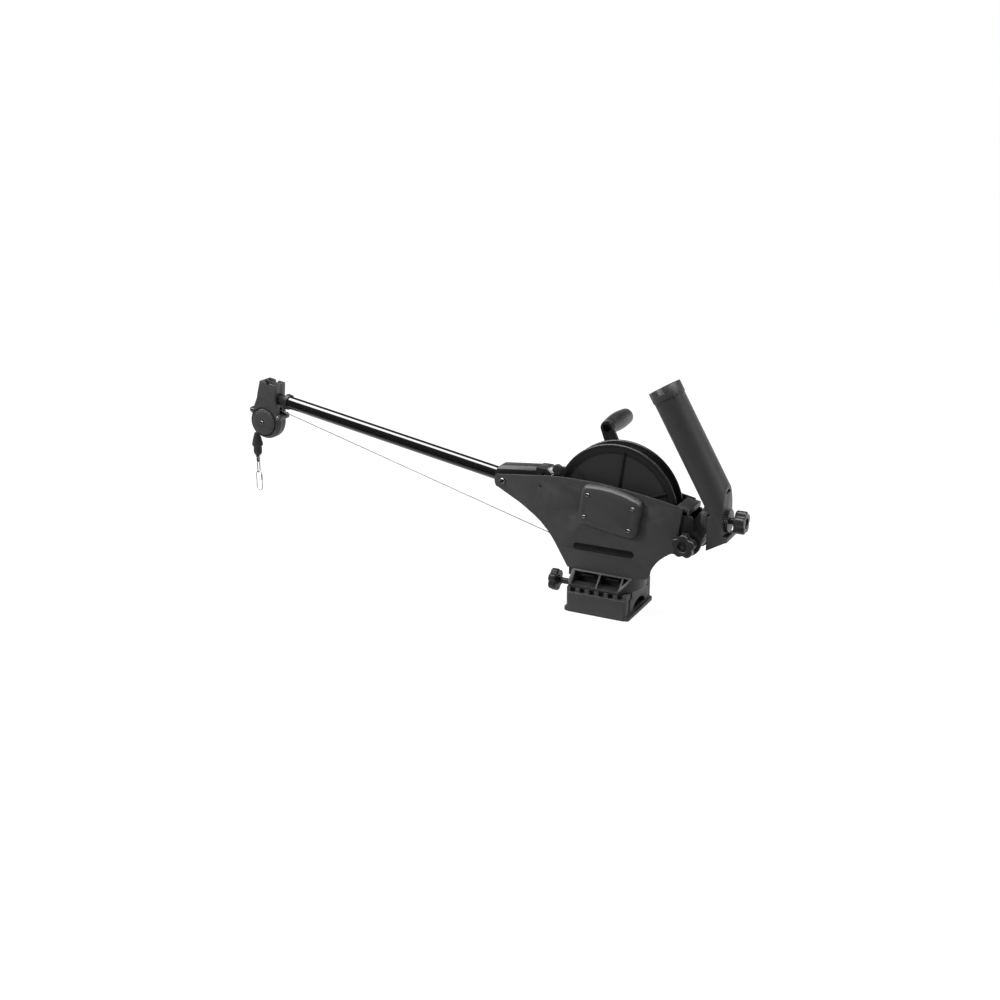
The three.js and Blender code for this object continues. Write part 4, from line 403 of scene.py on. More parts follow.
def roundedProfile(points, radius, steps=3):
    # the corners of an open profile cut back and rounded; the first and last points stay
    mostCut = 0.45  # of the shorter side, so that two corners never meet
    made = [points[0]]
    for before, corner, after in zip(points, points[1:], points[2:]):
        here = Vector(corner)
        first, second = Vector(before) - here, Vector(after) - here
        cut = min(radius, first.length * mostCut, second.length * mostCut)
        start, end = here + first.normalized() * cut, here + second.normalized() * cut
        for i in range(steps + 1):
            t = i / steps
            made.append(tuple(start * (1 - t) ** 2 + here * 2 * t * (1 - t) + end * t ** 2))
    made.append(points[-1])
    return made


def bar(radius, low, high, edge):  # the rounded profile of a round bar
    return roundedProfile([(0, low), (radius, low), (radius, high), (0, high)], edge)


def axes(origin, alongZ, alongX=(1, 0, 0)):  # a place with its Z and X along these directions, origin in millimetres
    z = Vector(alongZ).normalized()
    x = Vector(alongX)
    x = (x - z * x.dot(z)).normalized()
    y = z.cross(x)
    turn = Matrix((x, y, z)).transposed().to_4x4()
    return Matrix.Translation(Vector(origin) * mm) @ turn


def tubeShape(points, radius, sides=12, lay=None, closed=False, shape=None):
    # a round tube through points in millimetres; with a lay its UV runs round and along it
    shape = shape or bmesh.new()
    uv = shape.loops.layers.uv.verify()
    count = len(points)
    rings, travelled, lengths = [], 0, []
    normal = None
    for i, point in enumerate(points):
        after = points[(i + 1) % count] if closed else points[min(i + 1, count - 1)]
        before = points[i - 1] if closed or i else points[0]
        ahead = (Vector(after) - Vector(before)).normalized()
        if normal is None:
            normal = ahead.orthogonal().normalized()
        normal = (normal - ahead * normal.dot(ahead)).normalized()
        side = ahead.cross(normal)
        if i:
            travelled += (Vector(point) - Vector(points[i - 1])).length
        lengths.append(travelled)
        rings.append([shape.verts.new((Vector(point) + (normal * math.cos(fullTurn * k / sides)
                                                        + side * math.sin(fullTurn * k / sides)) * radius) * mm)
                      for k in range(sides)])
    for i in range(count if closed else count - 1):
        for k in range(sides):
            j, m = (i + 1) % count, (k + 1) % sides
            face = shape.faces.new((rings[i][k], rings[i][m], rings[j][m], rings[j][k]))
            if lay:
                near, far = k / sides, (k + 1) / sides
                low, high = lengths[i] / lay, lengths[j] / lay
                for loop, corner in zip(face.loops, [(near, low), (far, low), (far, high), (near, high)]):
                    loop[uv].uv = corner
    if not closed:
        shape.faces.new(rings[0][::-1])
        shape.faces.new(rings[-1])
    return shape


softening = {"weld": 0.02, "flatUnder": 0.6, "sharpOver": 28, "smoothUnder": 42, "segments": 2}  # millimetres, degrees


def softened(node, finish, slot, width, look=softening):
    # the node's own shape with its hard edges rounded
    shape = bmesh.new()
    shape.from_mesh(cadNodes[node].data)
    bmesh.ops.remove_doubles(shape, verts=shape.verts, dist=look["weld"] * mm)
    bmesh.ops.dissolve_degenerate(shape, edges=shape.edges, dist=look["weld"] * mm)
    bmesh.ops.dissolve_limit(shape, angle_limit=math.radians(look["flatUnder"]), verts=shape.verts, edges=shape.edges)
    sharp = [e for e in shape.edges
             if len(e.link_faces) == 2 and e.calc_face_angle(0) > math.radians(look["sharpOver"])]
    bmesh.ops.bevel(shape, geom=sharp, offset=width * mm, offset_type="OFFSET", segments=look["segments"], profile=0.5,
                    affect="EDGES", clamp_overlap=False, miter_outer="ARC", miter_inner="SHARP")
    for layer in list(shape.loops.layers.uv.values()):
        shape.loops.layers.uv.remove(layer)
    mesh = finished(shape, node + "Mesh", look["smoothUnder"])
    addPiece(node + "_finished", mesh, finish, cadNodes[node]["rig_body"], slot, node)


softenedNodes = {  # node: finish, slot, edge width
    "mounting_base": ("body", "matte_plastic", 0.8),
    "frame_foot": ("ribbed", "ribbed_plastic", 0.5),
    "near_side_plate": ("body", "matte_plastic", 0.7),
    "far_side_plate": ("body", "matte_plastic", 0.7),
    "boom_sleeve": ("ribbed", "ribbed_plastic", 0.9),
    "rear_bridge": ("body", "matte_plastic", 0.5),
    "boom_nut": ("bright", "bright_steel", 0.4),
    "boom_end_plug": ("ribbed", "ribbed_plastic", 0.6),
    "swivel_cap": ("ribbed", "ribbed_plastic", 0.8),
    "axle_cover": ("body", "matte_plastic", 0.5),
    "badge_insert": ("insert", "ribbed_plastic", 0.25),
    "counter_housing": ("ribbed", "ribbed_plastic", 0.5),
    "rod_bracket": ("ribbed", "ribbed_plastic", 0.6),
    "rod_elbow": ("body", "matte_plastic", 0.9),
    "rod_tube": ("body", "matte_plastic", 0.8),
    "crank_arm": ("ribbed", "ribbed_plastic", 0.5),
    "crank_nut": ("bright", "bright_steel", 0.5),
    "head_shell_near": ("body", "matte_plastic", 0.6),
    "head_shell_far": ("body", "matte_plastic", 0.6),
}
for node, (finish, slot, width) in softenedNodes.items():
    softened(node, finish, slot, width)
print("softened pieces made:", len(softenedNodes))

plainNodes = {  # nodes kept as they are, with their finish
    "tie_spacer": "dark", "axle_bush_near": "dark", "axle_bush_far": "dark", "pawl_pin": "bright", "pawl": "dark",
    "ratchet_wheel": "dark", "clutch_disc": "dark", "clutch_pad": "lining", "counter_shaft": "bright",
    "counter_window": "window", "counter_drive_wheel": "rubber", "digit_wheel_units": "white",
    "digit_wheel_tens": "white", "digit_wheel_hundreds": "white", "pulley": "ribbed", "boom_bolt": "bright",
    "reel_axle": "bright", "grip_bolt": "blackened", "cable_core": "cable",
}
for node, finish in plainNodes.items():
    cadNodes[node].data.materials.clear()
    cadNodes[node].data.materials.append(finishes[finish].material)

# Boom: where it lies, which other pieces build on, and its tube
boom = {"pivot": (-200.7, 0, 207.8), "tilt": math.radians(10), "radius": 12.5, "wall": 1.65, "inner": 65,
        "outer": 473, "edge": 0.6, "boreShown": 5, "steps": 96}
outwards = (-math.cos(boom["tilt"]), 0, math.sin(boom["tilt"]))
upFromBoom = (math.sin(boom["tilt"]), 0, math.cos(boom["tilt"]))


def onBoom(u, v):  # u along the boom from its pivot, v up from its middle line
    return tuple(boom["pivot"][i] + outwards[i] * u + upFromBoom[i] * v for i in range(3))


bore = boom["radius"] - boom["wall"]
tubeProfile = roundedProfile([
    (bore, -boom["inner"] + boom["boreShown"]), (bore, -boom["inner"]), (boom["radius"], -boom["inner"]),
    (boom["radius"], boom["outer"]), (bore, boom["outer"]), (bore, boom["outer"] - boom["boreShown"])], boom["edge"])
tube = turnedShape(tubeProfile, boom["steps"], matrix=axes(boom["pivot"], outwards, (0, 1, 0)))
addPiece("boomTube", finished(tube, "boomTube"), "gloss", "frame", "gloss_black", "boom_tube")

# Reel: the near flange with its drum, and the far flange, each with ribs on its outer face
spool = {"bore": 6.65, "boreEdge": 0.6, "hub": 22, "hubReach": 24, "hubDraft": 0.8, "hubRound": 1.6, "disc": 14,
         "discEnd": 90, "rimFrom": 91, "recess": 97, "bead": 105, "beadEdge": 4.4, "beadRound": 2.2, "beadSteps": 5,
         "rimRound": 3.3, "rimSteps": 10, "drum": 92, "drumInner": 89, "drumEnd": 10.9, "ribs": 6,
         "firstRib": math.radians(-22), "ribThickness": 4, "ribProud": 3, "ribRoot": 1.4, "ribRound": 0.8,
         "ribFrom": 20, "ribTo": 98, "steps": 160}


def rimProfile(look, side):  # from the recess over the bead to the inner face
    face, inside, outer = side * reel["halfWidth"], side * reel["inside"], reel["flangeRadius"]
    made = roundedProfile([
        (look["rimFrom"], side * look["disc"]), (look["recess"], side * look["disc"]), (look["bead"], face),
        (outer - look["beadEdge"], face)], look["beadRound"], look["beadSteps"])
    centre, curve, steps = (face + inside) / 2, look["rimRound"], look["rimSteps"]
    for i in range(steps + 1):
        angle = math.pi / 2 - math.pi * i / steps
        made.append((outer - curve + curve * math.cos(angle), centre + side * curve * math.sin(angle)))
    return made


def hubProfile(look, side):  # from the bore over the hub's end to the disc
    end, disc = side * look["hubReach"], side * look["disc"]
    return [(look["bore"], end)] + roundedProfile([
        (look["bore"] + look["boreEdge"], end), (look["hub"], end), (look["hub"] + look["hubDraft"], disc),
        (look["discEnd"], disc)], look["hubRound"])


def addRibs(shape, look, side):
    length = look["ribTo"] - look["ribFrom"]
    low, high = sorted((side * (look["disc"] + look["ribProud"]), side * (look["disc"] - look["ribRoot"])))
    middle = Vector(((look["ribFrom"] + look["ribTo"]) / 2, (low + high) / 2, 0)) * mm
    size = Matrix.Diagonal((length * mm, (high - low) * mm, look["ribThickness"] * mm, 1))
    for i in range(look["ribs"]):
        turn = Matrix.Translation(Vector(reel["centre"]) * mm) @ Matrix.Rotation(
            look["firstRib"] + fullTurn * i / look["ribs"], 4, "Y")
        rib = bmesh.ops.create_cube(shape, size=1, matrix=turn @ Matrix.Translation(middle) @ size)
        edges = list({e for v in rib["verts"] for e in v.link_edges})
        bmesh.ops.bevel(shape, geom=edges, offset=look["ribRound"] * mm, segments=2, profile=0.5, affect="EDGES",
                        clamp_overlap=True)


inside = reel["inside"]
halves = {  # piece: its node, its side, and its profile from the rim back to the bore
    "reelSpool": ("reel_spool", -1, [
        (spool["drum"], -inside), (spool["drum"], spool["drumEnd"]), (spool["drumInner"], spool["drumEnd"]),
        (spool["drumInner"], -inside), (spool["hub"], -inside), (spool["hub"], spool["drumEnd"]),
        (spool["bore"], spool["drumEnd"])]),
    "reelFlange": ("reel_flange", 1, [(spool["bore"], inside)]),
}
for name, (node, side, back) in halves.items():
    profile = hubProfile(spool, side) + rimProfile(spool, side) + back
    shape = turnedShape(profile, spool["steps"], matrix=axes(reel["centre"], (0, 1, 0)))
    addRibs(shape, spool, side)
    addPiece(name, finished(shape, name), "reel", "reel", "ribbed_plastic", node)
print("boom and reel made")

# Cable: its way from the reel over the pulley, and the winding
cable = {"radius": 0.6, "runRadius": 0.9, "windRadius": 97, "reelWrap": 98.5, "turns": 16, "edgeGap": 0.5, "lay": 7.0,
         "pulleyWrap": 29.7, "pulleyU": 518, "pulleyDrop": 49.3, "mouthBack": 30.2, "mouthGap": 0.3, "hangEnd": 221.7,
         "turnSteps": 72, "runSteps": 60, "mouthSteps": 10, "wrapSteps": 40, "hangSteps": 8, "smoothUnder": 60}
pulleyCentre = Vector(onBoom(cable["pulleyU"], -cable["pulleyDrop"]))
reelCentre = Vector(reel["centre"])
across = pulleyCentre - reelCentre
lean = math.asin((cable["reelWrap"] + cable["pulleyWrap"]) / across.length)
runAngle = math.atan2(across.z, across.x) - lean
along = Vector((math.cos(runAngle), 0, math.sin(runAngle)))
down = Vector((-along.z, 0, along.x))
leaves = reelCentre + down * cable["reelWrap"]
meets = pulleyCentre - down * cable["pulleyWrap"]
hang = pulleyCentre.x - cable["pulleyWrap"]
windEdge = reel["inside"] - cable["edgeGap"] - cable["radius"]
mouth = cable["mouthBack"] / math.cos(runAngle - (math.pi - boom["tilt"]))


def windingPoints(look):  # from one side of the drum to the other, where the cable leaves it
    last = math.atan2((leaves - reelCentre).z, (leaves - reelCentre).x)
    steps, radius = look["turns"] * look["turnSteps"], look["windRadius"]
    points = []
    for i in range(steps + 1):
        angle = last + (steps - i) / look["turnSteps"] * fullTurn
        y = windEdge * (1 - 2 * i / steps)
        points.append(reelCentre + Vector((math.cos(angle) * radius, y, math.sin(angle) * radius)))
    return points


def runPoints(look):  # straight from the reel to just short of the head's mouth
    start = Vector((leaves.x, -windEdge, leaves.z))
    end = meets - along * (mouth + look["mouthGap"])
    return [start.lerp(end, i / look["runSteps"]) for i in range(look["runSteps"] + 1)]


def dropPoints(look):  # through the mouth, over the pulley and down
    points = [meets - along * mouth * (1 - i / look["mouthSteps"]) for i in range(look["mouthSteps"])]
    top = math.atan2((meets - pulleyCentre).z, (meets - pulleyCentre).x)
    for i in range(look["wrapSteps"] + 1):
        angle = top + (math.pi - top) * i / look["wrapSteps"]
        points.append(pulleyCentre + Vector((math.cos(angle), 0, math.sin(angle))) * look["pulleyWrap"])
    fall = look["hangEnd"] - pulleyCentre.z
    for i in range(look["hangSteps"]):
        points.append(Vector((hang, 0, pulleyCentre.z + fall * (i + 1) / look["hangSteps"])))
    return points


cablePieces = {  # piece: its node, body, points, radius and sides
    "cableWinding": ("cable_winding", "reel", windingPoints(cable), cable["radius"], 8),
    "cableRun": ("cable_run", "frame", runPoints(cable), cable["runRadius"], 12),
    "cableDrop": ("cable_drop", "head", dropPoints(cable), cable["runRadius"], 12),
}
for name, (node, body, points, radius, sides) in cablePieces.items():
    shape = tubeShape(points, radius, sides, cable["lay"])
    addPiece(name, finished(shape, name, cable["smoothUnder"]), "cable", body, "cable_steel", node)
print("cable made, winding turns:", cable["turns"])


# Hand knobs: a lobed outline stacked in rings, with a rounded edge and a dished face with a bolt's head in it
def knobShape(look, matrix):
    steps = look["lobes"] * look["lobeSteps"]
    shape = bmesh.new()

    def circle(radius, height):
        return [shape.verts.new((radius * math.cos(fullTurn * i / steps) * mm,
                                 radius * math.sin(fullTurn * i / steps) * mm, height * mm)) for i in range(steps)]

    def lobed(inset, height):
        verts = []
        for i in range(steps):
            angle = fullTurn * i / steps
            wave = (1 - math.cos(look["lobes"] * angle)) / 2
            r = look["radius"] - inset - look["depth"] * wave ** 2
            verts.append(shape.verts.new((r * math.cos(angle) * mm, r * math.sin(angle) * mm, height * mm)))
        return verts

    edge, thick, dish, lip = look["edge"], look["thickness"], look["dish"], look["dishLip"]
    dished = thick - look["dishDepth"]
    curve = [math.pi / 2 * i / look["edgeSteps"] for i in range(look["edgeSteps"] + 1)]
    rings = [circle(dish, 0)]
    rings += [lobed(edge * (1 - math.sin(a)), edge * (1 - math.cos(a))) for a in curve]
    rings += [lobed(edge * (1 - math.cos(a)), thick - edge * (1 - math.sin(a))) for a in curve]
    rings += [circle(dish + lip, thick), circle(dish, thick - lip), circle(dish - look["dishDraft"], dished)]
    for low, high in zip(rings, rings[1:]):
        for i in range(steps):
            k = (i + 1) % steps
            shape.faces.new((low[i], low[k], high[k], high[i]))
    shape.faces.new(rings[0][::-1])
    shape.faces.new(rings[-1])
    turnedShape(bar(look["bolt"], dished - look["boltSunk"], dished + look["boltProud"], look["boltEdge"]),
                look["boltSteps"], shape)
    for stud in look["studs"]:
        turnedShape(bar(*stud), look["studSteps"], shape)
    bmesh.ops.transform(shape, matrix=matrix, verts=shape.verts)
    return shape


def addWasher(shape, look):  # a washer with teeth round its edge
    corners = 2 * look["teeth"]
    place = axes(look["centre"], look["along"], (0, 1, 0))
    lower = []
    for i in range(corners):
        angle = fullTurn * i / corners
        radius = look["tip"] if i % 2 else look["root"]
        corner = Vector((math.cos(angle), math.sin(angle), 0)) * radius * mm + Vector((0, 0, look["start"] * mm))
        lower.append(shape.verts.new(place @ corner))
    upper = [shape.verts.new(v.co + Vector(look["along"]) * look["thickness"] * mm) for v in lower]
    for i in range(corners):
        k = (i + 1) % corners
        shape.faces.new((lower[i], lower[k], upper[k], upper[i]))
    shape.faces.new(lower[::-1])
    shape.faces.new(upper)


knobSkin = {"dish": 9, "dishLip": 0.8, "dishDraft": 0.6, "bolt": 3.4, "boltSunk": 1, "boltProud": 1.6, "boltEdge": 0.5,
            "boltSteps": 24, "studSteps": 48, "lobeSteps": 24, "edgeSteps": 4, "smoothUnder": 30}
washer = {"centre": (207.6, 0, 189), "along": (1, 0, 0), "teeth": 36, "tip": 19.5, "root": 18.4, "start": -4.3,
          "thickness": 6, "toKnob": 10.3}
knobs = {  # each stud or collar behind a knob is a bar with its radius, ends and edge
    "lockKnob": {
        "radius": 20, "lobes": 6, "depth": 3.2, "edge": 2.6, "thickness": 14, "dishDepth": 3,
        "at": (-100.3, 0, 30), "along": (-1, 0, 0), "studs": [(5.5, -72.8, 2, 0.8), (8.5, -2.2, 1, 0.5)],
        "body": "lock_knob", "node": "lock_knob"},
    "tiltKnob": {
        "radius": 20.5, "lobes": 5, "depth": 4, "edge": 3, "thickness": 17, "dishDepth": 4,
        "at": (145.5, -35.5, 148.8), "along": (0, -1, 0), "studs": [(4, -64.5, 2, 0.5), (5.5, -6.5, 1, 0.4)],
        "body": "tilt_knob", "node": "rod_tilt_knob"},
    "swingKnob": {
        "radius": 19.8, "lobes": 5, "depth": 4, "edge": 3, "thickness": 19, "dishDepth": 4,
        "at": Vector(washer["centre"]) + Vector(washer["along"]) * washer["toKnob"], "along": washer["along"],
        "studs": [(4, -53.9, 2, 0.5), (5.5, -14.1, 1, 0.4)],
        "body": "swing_knob", "node": "rod_swing_knob"},
}
for name, knob in knobs.items():
    shape = knobShape({**knobSkin, **knob}, axes(knob["at"], knob["along"], (0, 0, 1)))
    if name == "swingKnob":
        addWasher(shape, washer)
    mesh = finished(shape, name, knobSkin["smoothUnder"])
    addPiece(name, mesh, "knob", knob["body"], "knob_plastic", knob["node"])
print("knobs made:", len(knobs))

# Crank grip: a turned barrel with shallow grooves
grip = {"centre": (-39.1, 0, 304.5), "start": 61.6, "length": 88, "root": 12.5, "belly": 16.3, "tip": 14.4,
        "bore": 4.4, "startInset": 1.4, "startRise": 1.2, "groove": 0.35, "grooves": 9, "grooveSharpness": 6,
        "grooveFrom": 0.1, "grooveTo": 0.9, "tipFullness": 0.7, "steps": 90, "tipSteps": 8,
        "smoothUnder": 40}


def gripProfile(look):  # from the tip back to the bore
    start, reach = look["start"], look["length"] - look["tip"] / 2
    made = [(look["bore"], start), (look["root"] - look["startInset"], start),
            (look["root"], start + look["startRise"])]
    for i in range(1, look["steps"]):
        share = i / look["steps"]
        straight = look["root"] + (look["tip"] - look["root"]) * share
        belly = (look["belly"] - (look["root"] + look["tip"]) / 2) * math.sin(math.pi * share)
        ripple = 0.5 - 0.5 * math.cos(share * look["grooves"] * fullTurn)
        grooved = look["grooveFrom"] < share < look["grooveTo"]
        depth = look["groove"] * ripple ** look["grooveSharpness"] if grooved else 0
        made.append((straight + belly - depth, start + reach * share))
    for i in range(look["tipSteps"]):
        angle = math.pi / 2 * i / look["tipSteps"]
        made.append((look["tip"] * math.cos(angle) ** look["tipFullness"],
                     start + reach + look["tip"] / 2 * math.sin(angle)))
    made.append((0, start + reach + look["tip"] / 2))
    return made[::-1]


gripShape = turnedShape(gripProfile(grip), matrix=axes(grip["centre"], (0, 1, 0)))
gripMesh = finished(gripShape, "crankGrip", grip["smoothUnder"])
addPiece("crankGrip", gripMesh, "knob", "grip", "knob_plastic", "crank_grip")


# Pulley cover: a low dome with a stepped rim
cover = {"radius": 25.2, "thickness": 5.2, "rim": 2.2, "rimEdge": 0.6, "step": 0.3, "domeShare": 0.9, "domeSteps": 12,
         "hole": 4.4, "holeEdge": 0.4, "y": -15.8, "steps": 96, "smoothUnder": 30}


def coverProfile(look):
    radius, rim, hole = look["radius"], look["rim"], look["hole"]
    dome, base, rise = radius * look["domeShare"], rim + look["step"], look["thickness"] - rim - look["step"]
    made = [(hole, 0), (radius, 0), (radius, rim - look["rimEdge"]), (radius - look["rimEdge"], rim), (dome, base)]
    for i in range(1, look["domeSteps"]):
        angle = math.pi / 2 * (1 - i / look["domeSteps"])
        made.append((hole + (dome - hole) * math.sin(angle), base + rise * math.cos(angle)))
    return made + [(hole + look["holeEdge"], base + rise), (hole, look["thickness"] - look["holeEdge"])]


coverPlace = axes(tuple(pulleyCentre + Vector((0, cover["y"], 0))), (0, -1, 0), upFromBoom)
coverShape = turnedShape(coverProfile(cover), cover["steps"], matrix=coverPlace)
# The cover takes the lighter body plastic, not the knob plastic, as a painted highlight in place of the glossy sheen on
# its dome
addPiece("pulleyCover", finished(coverShape, "pulleyCover", cover["smoothUnder"]), "body", "head", "knob_plastic",
         "pulley_cover")


# Screws: a crowned pan head with a cross recess
def shownMesh(holder):  # the object's mesh as it shows, in place of the object
    bpy.context.view_layer.update()
    mesh = bpy.data.meshes.new_from_object(holder.evaluated_get(bpy.context.evaluated_depsgraph_get()))
    bpy.data.objects.remove(holder)
    return mesh


screwSkin = {"steps": 48, "domeSteps": 6, "sideShare": 0.25, "slotLength": 1.15, "slotWidth": 0.26, "smoothUnder": 30,
             "firstTurn": 0.4, "turnApart": 1.3}


def crossHead(look, matrix):
    radius, height, shank, length = (look[key] for key in ("radius", "height", "shank", "length"))
    profile = [(0, -length), (shank, -length), (shank, 0), (radius, 0)]
    for i in range(look["domeSteps"]):
        angle = math.pi / 2 * i / look["domeSteps"]
        rise = look["sideShare"] + (1 - look["sideShare"]) * math.sin(angle)
        profile.append((radius * math.cos(angle), height * rise))
    shape = turnedShape(profile + [(0, height)], look["steps"])
    blank = linked("screwBlank", finished(shape, "screwBlank", look["smoothUnder"]))
    cutter = bmesh.new()
    size = Matrix.Diagonal((radius * look["slotLength"] * mm, radius * look["slotWidth"] * mm, height * mm, 1))
    for turn in (0, math.pi / 2):
        arm = Matrix.Rotation(turn, 4, "Z") @ Matrix.Translation((0, 0, height * mm)) @ size
        bmesh.ops.create_cube(cutter, size=1, matrix=arm)
    cross = linked("crossCutter", finished(cutter, "crossCutter"))
    recess = blank.modifiers.new("recess", "BOOLEAN")
    recess.object = cross
    recess.operation = "DIFFERENCE"
    recess.solver = "EXACT"
    recess.use_self = True
    mesh = shownMesh(blank)
    bpy.data.objects.remove(cross)
    mesh.transform(matrix)
    return mesh


screwSizes = {
    "cover": {"radius": 3.4, "height": 2, "shank": 1.6, "length": 18, "seatY": -47.3},
    "head": {"radius": 3.4, "height": 2, "shank": 1.6, "length": 31, "seatY": -15.8},
    "pulley": {"radius": 3.6, "height": 2.2, "shank": 3.7, "length": 36.2, "seatY": -21.3},
}
screws = ["cover_screw_1", "cover_screw_2", "cover_screw_3", "cover_screw_4", "head_screw_1", "head_screw_2",
          "pulley_bolt"]
for i, node in enumerate(screws):  # each driven home at its own turn
    size = screwSizes[node.split("_")[0]]
    low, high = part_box(node)
    centre = (low + high) / 2 / mm
    turn = screwSkin["firstTurn"] + i * screwSkin["turnApart"]
    matrix = axes((centre.x, size["seatY"], centre.z), (0, -1, 0), (math.cos(turn), 0, math.sin(turn)))
    addPiece(node + "_cross", crossHead({**screwSkin, **size}, matrix), "screw", cadNodes[node]["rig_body"],
             "bright_steel", node)
print("screws made:", len(screws))

# Terminator: rubber bumper, crimp, swivel and snap under the cable, their profiles as (radius, height above the floor)
hanging = Matrix.Translation((hang * mm, 0, 0))
bumper = {"profile": [(1.1, 190), (1.1, 221.4), (4.6, 221.4), (7.8, 211), (10.9, 197.4), (9.8, 194.6), (7.6, 192.5),
                      (8.2, 189.9), (8.2, 182), (6.4, 176.8), (4.6, 176.8), (4.6, 190)],
          "edge": 1.2, "edgeSteps": 4, "steps": 64, "smoothUnder": 45}
rubberProfile = roundedProfile(bumper["profile"], bumper["edge"], bumper["edgeSteps"])
rubberMesh = finished(turnedShape(rubberProfile, bumper["steps"], matrix=hanging), "cableBumper", bumper["smoothUnder"])
addPiece("cableBumper", rubberMesh, "rubber", "terminator", "rubber", "cable_bumper")
crimp = {"profile": [(0, 180), (1.9, 180), (1.9, 171.4), (4, 171.4), (5, 172.4), (5, 174.8), (4, 175.8), (4, 189.4),
                     (0, 189.4)], "edge": 0.4, "steps": 48}
crimpShape = turnedShape(roundedProfile(crimp["profile"], crimp["edge"]), crimp["steps"], matrix=hanging)
addPiece("cableCrimp", finished(crimpShape, "cableCrimp"), "bright", "terminator", "bright_steel", "cable_crimp")


def longRing(radius, half, centreZ, across="X", steps=16):  # the middle line of a drawn-out ring
    points = []
    for end in (1, -1):
        for i in range(steps + 1):
            angle = math.pi * i / steps
            points.append((end * radius * math.cos(angle), 0, centreZ + end * (half + radius * math.sin(angle))))
    if across == "Y":
        points = [(y, x, z) for x, y, z in points]
    return [(x + hang, y, z) for x, y, z in points]


swivel = {"profile": [(0, 161.5), (2.6, 161.5), (3.8, 163.4), (3.8, 165.4), (3.3, 166.2), (3.8, 167), (3.8, 169.4),
                      (2.6, 171), (1.5, 171), (1.5, 178), (0, 178)],
          "edge": 0.5, "steps": 48, "eyeCentre": 151.2, "eyeHalf": 7.4, "eyeRadius": 3.4, "eyeWire": 1.0,
          "eyeSides": 14, "smoothUnder": 50}
barrel = turnedShape(roundedProfile(swivel["profile"], swivel["edge"]), swivel["steps"], matrix=hanging)
eye = longRing(swivel["eyeRadius"], swivel["eyeHalf"], swivel["eyeCentre"], "Y")
tubeShape(eye, swivel["eyeWire"], swivel["eyeSides"], closed=True, shape=barrel)
barrelMesh = finished(barrel, "swivelBarrel", swivel["smoothUnder"])
addPiece("swivelBarrel", barrelMesh, "dark", "swivel", "dark_steel", "swivel_barrel")

snap = {"radius": 6.3, "half": 13, "centre": 123.35, "wire": 0.95, "clasp": 1.7, "claspLength": 11, "edge": 0.3,
        "groove": 0.35, "grooveFrom": 6.2, "grooveMiddle": 5.8, "grooveTo": 5.4, "bendSteps": 24, "wireSides": 14,
        "claspSteps": 32, "smoothUnder": 50}
wireLine = longRing(snap["radius"], snap["half"], snap["centre"], steps=snap["bendSteps"])
link = tubeShape(wireLine, snap["wire"], snap["wireSides"], closed=True)
claspTop = snap["centre"] + snap["half"]
claspProfile = [
    (0, claspTop - snap["claspLength"]), (snap["clasp"], claspTop - snap["claspLength"]),
    (snap["clasp"], claspTop - snap["grooveFrom"]), (snap["clasp"] - snap["groove"], claspTop - snap["grooveMiddle"]),
    (snap["clasp"], claspTop - snap["grooveTo"]), (snap["clasp"], claspTop), (0, claspTop)]
claspPlace = Matrix.Translation(((hang + snap["radius"]) * mm, 0, 0))
turnedShape(roundedProfile(claspProfile, snap["edge"]), snap["claspSteps"], link, claspPlace)
linkMesh = finished(link, "snapLink", snap["smoothUnder"])
addPiece("snapLink", linkMesh, "bright", "snap", "bright_steel", "snap_link")
print("terminator made")


# Numerals on the counter's wheels, bent round them
def numeral(text, size):
    words = bpy.data.curves.new("numeral", "FONT")
    words.body = text
    words.size = size * mm
    words.align_x = "CENTER"
    words.align_y = "CENTER"
    return shownMesh(linked("numeral", words))


counter = {"x": -124.5, "z": 228.2, "radius": 8.62, "proud": 0.04, "digit": 5, "gap": 0.6, "near": -19, "far": 13,
           "size": 4.6, "zeroAt": 38, "apart": 36}
for place, name in enumerate(("units", "tens", "hundreds")):
    shape = bmesh.new()
    middle = (counter["near"] + counter["far"]) / 2 + (place - 1) * (counter["digit"] + counter["gap"])
    r = counter["radius"] + counter["proud"]
    for value in range(10):
        figure = numeral(str(value), counter["size"])
        first = len(shape.verts)
        shape.from_mesh(figure)
        shape.verts.ensure_lookup_table()
        base = math.radians(counter["zeroAt"] + value * counter["apart"])
        for vert in shape.verts[first:]:
            angle = base + vert.co.y / mm / counter["radius"]
            vert.co = Vector((counter["x"] + r * math.cos(angle), middle + vert.co.x / mm,
                              counter["z"] + r * math.sin(angle))) * mm
        bpy.data.meshes.remove(figure)
    mesh = bpy.data.meshes.new("numerals")
    shape.to_mesh(mesh)
    shape.free()
    addPiece("numerals_" + name, mesh, "ink", "digits_" + name, "digit_plastic")
print("numerals made")


# Floor, lamps, world and camera, in metres
def addLamp(name, look):
    lamp = bpy.data.lights.new(name, "AREA")
    lamp.shape = "RECTANGLE"
    lamp.size, lamp.size_y = look["size"]
    lamp.energy = look["power"]
    holder = linked(name, lamp)
    holder.location = look["place"]
    holder.rotation_mode = "QUATERNION"
    holder.rotation_quaternion = (Vector(look["target"]) - Vector(look["place"])).to_track_quat("-Z", "Y")
    holder.visible_glossy = False  # the studio's own strips make the highlights


lamps = {
    "topLamp": {"place": (-0.4, -0.1, 1.9), "target": (-0.4, 0, 0.2), "size": (2.4, 0.9), "power": 30},
    "keyLamp": {"place": (-1.75, -1.75, 1.4), "target": (0, 0, 0.2), "size": (0.7, 0.7), "power": 66},
}
for name, look in lamps.items():
    addLamp(name, look)

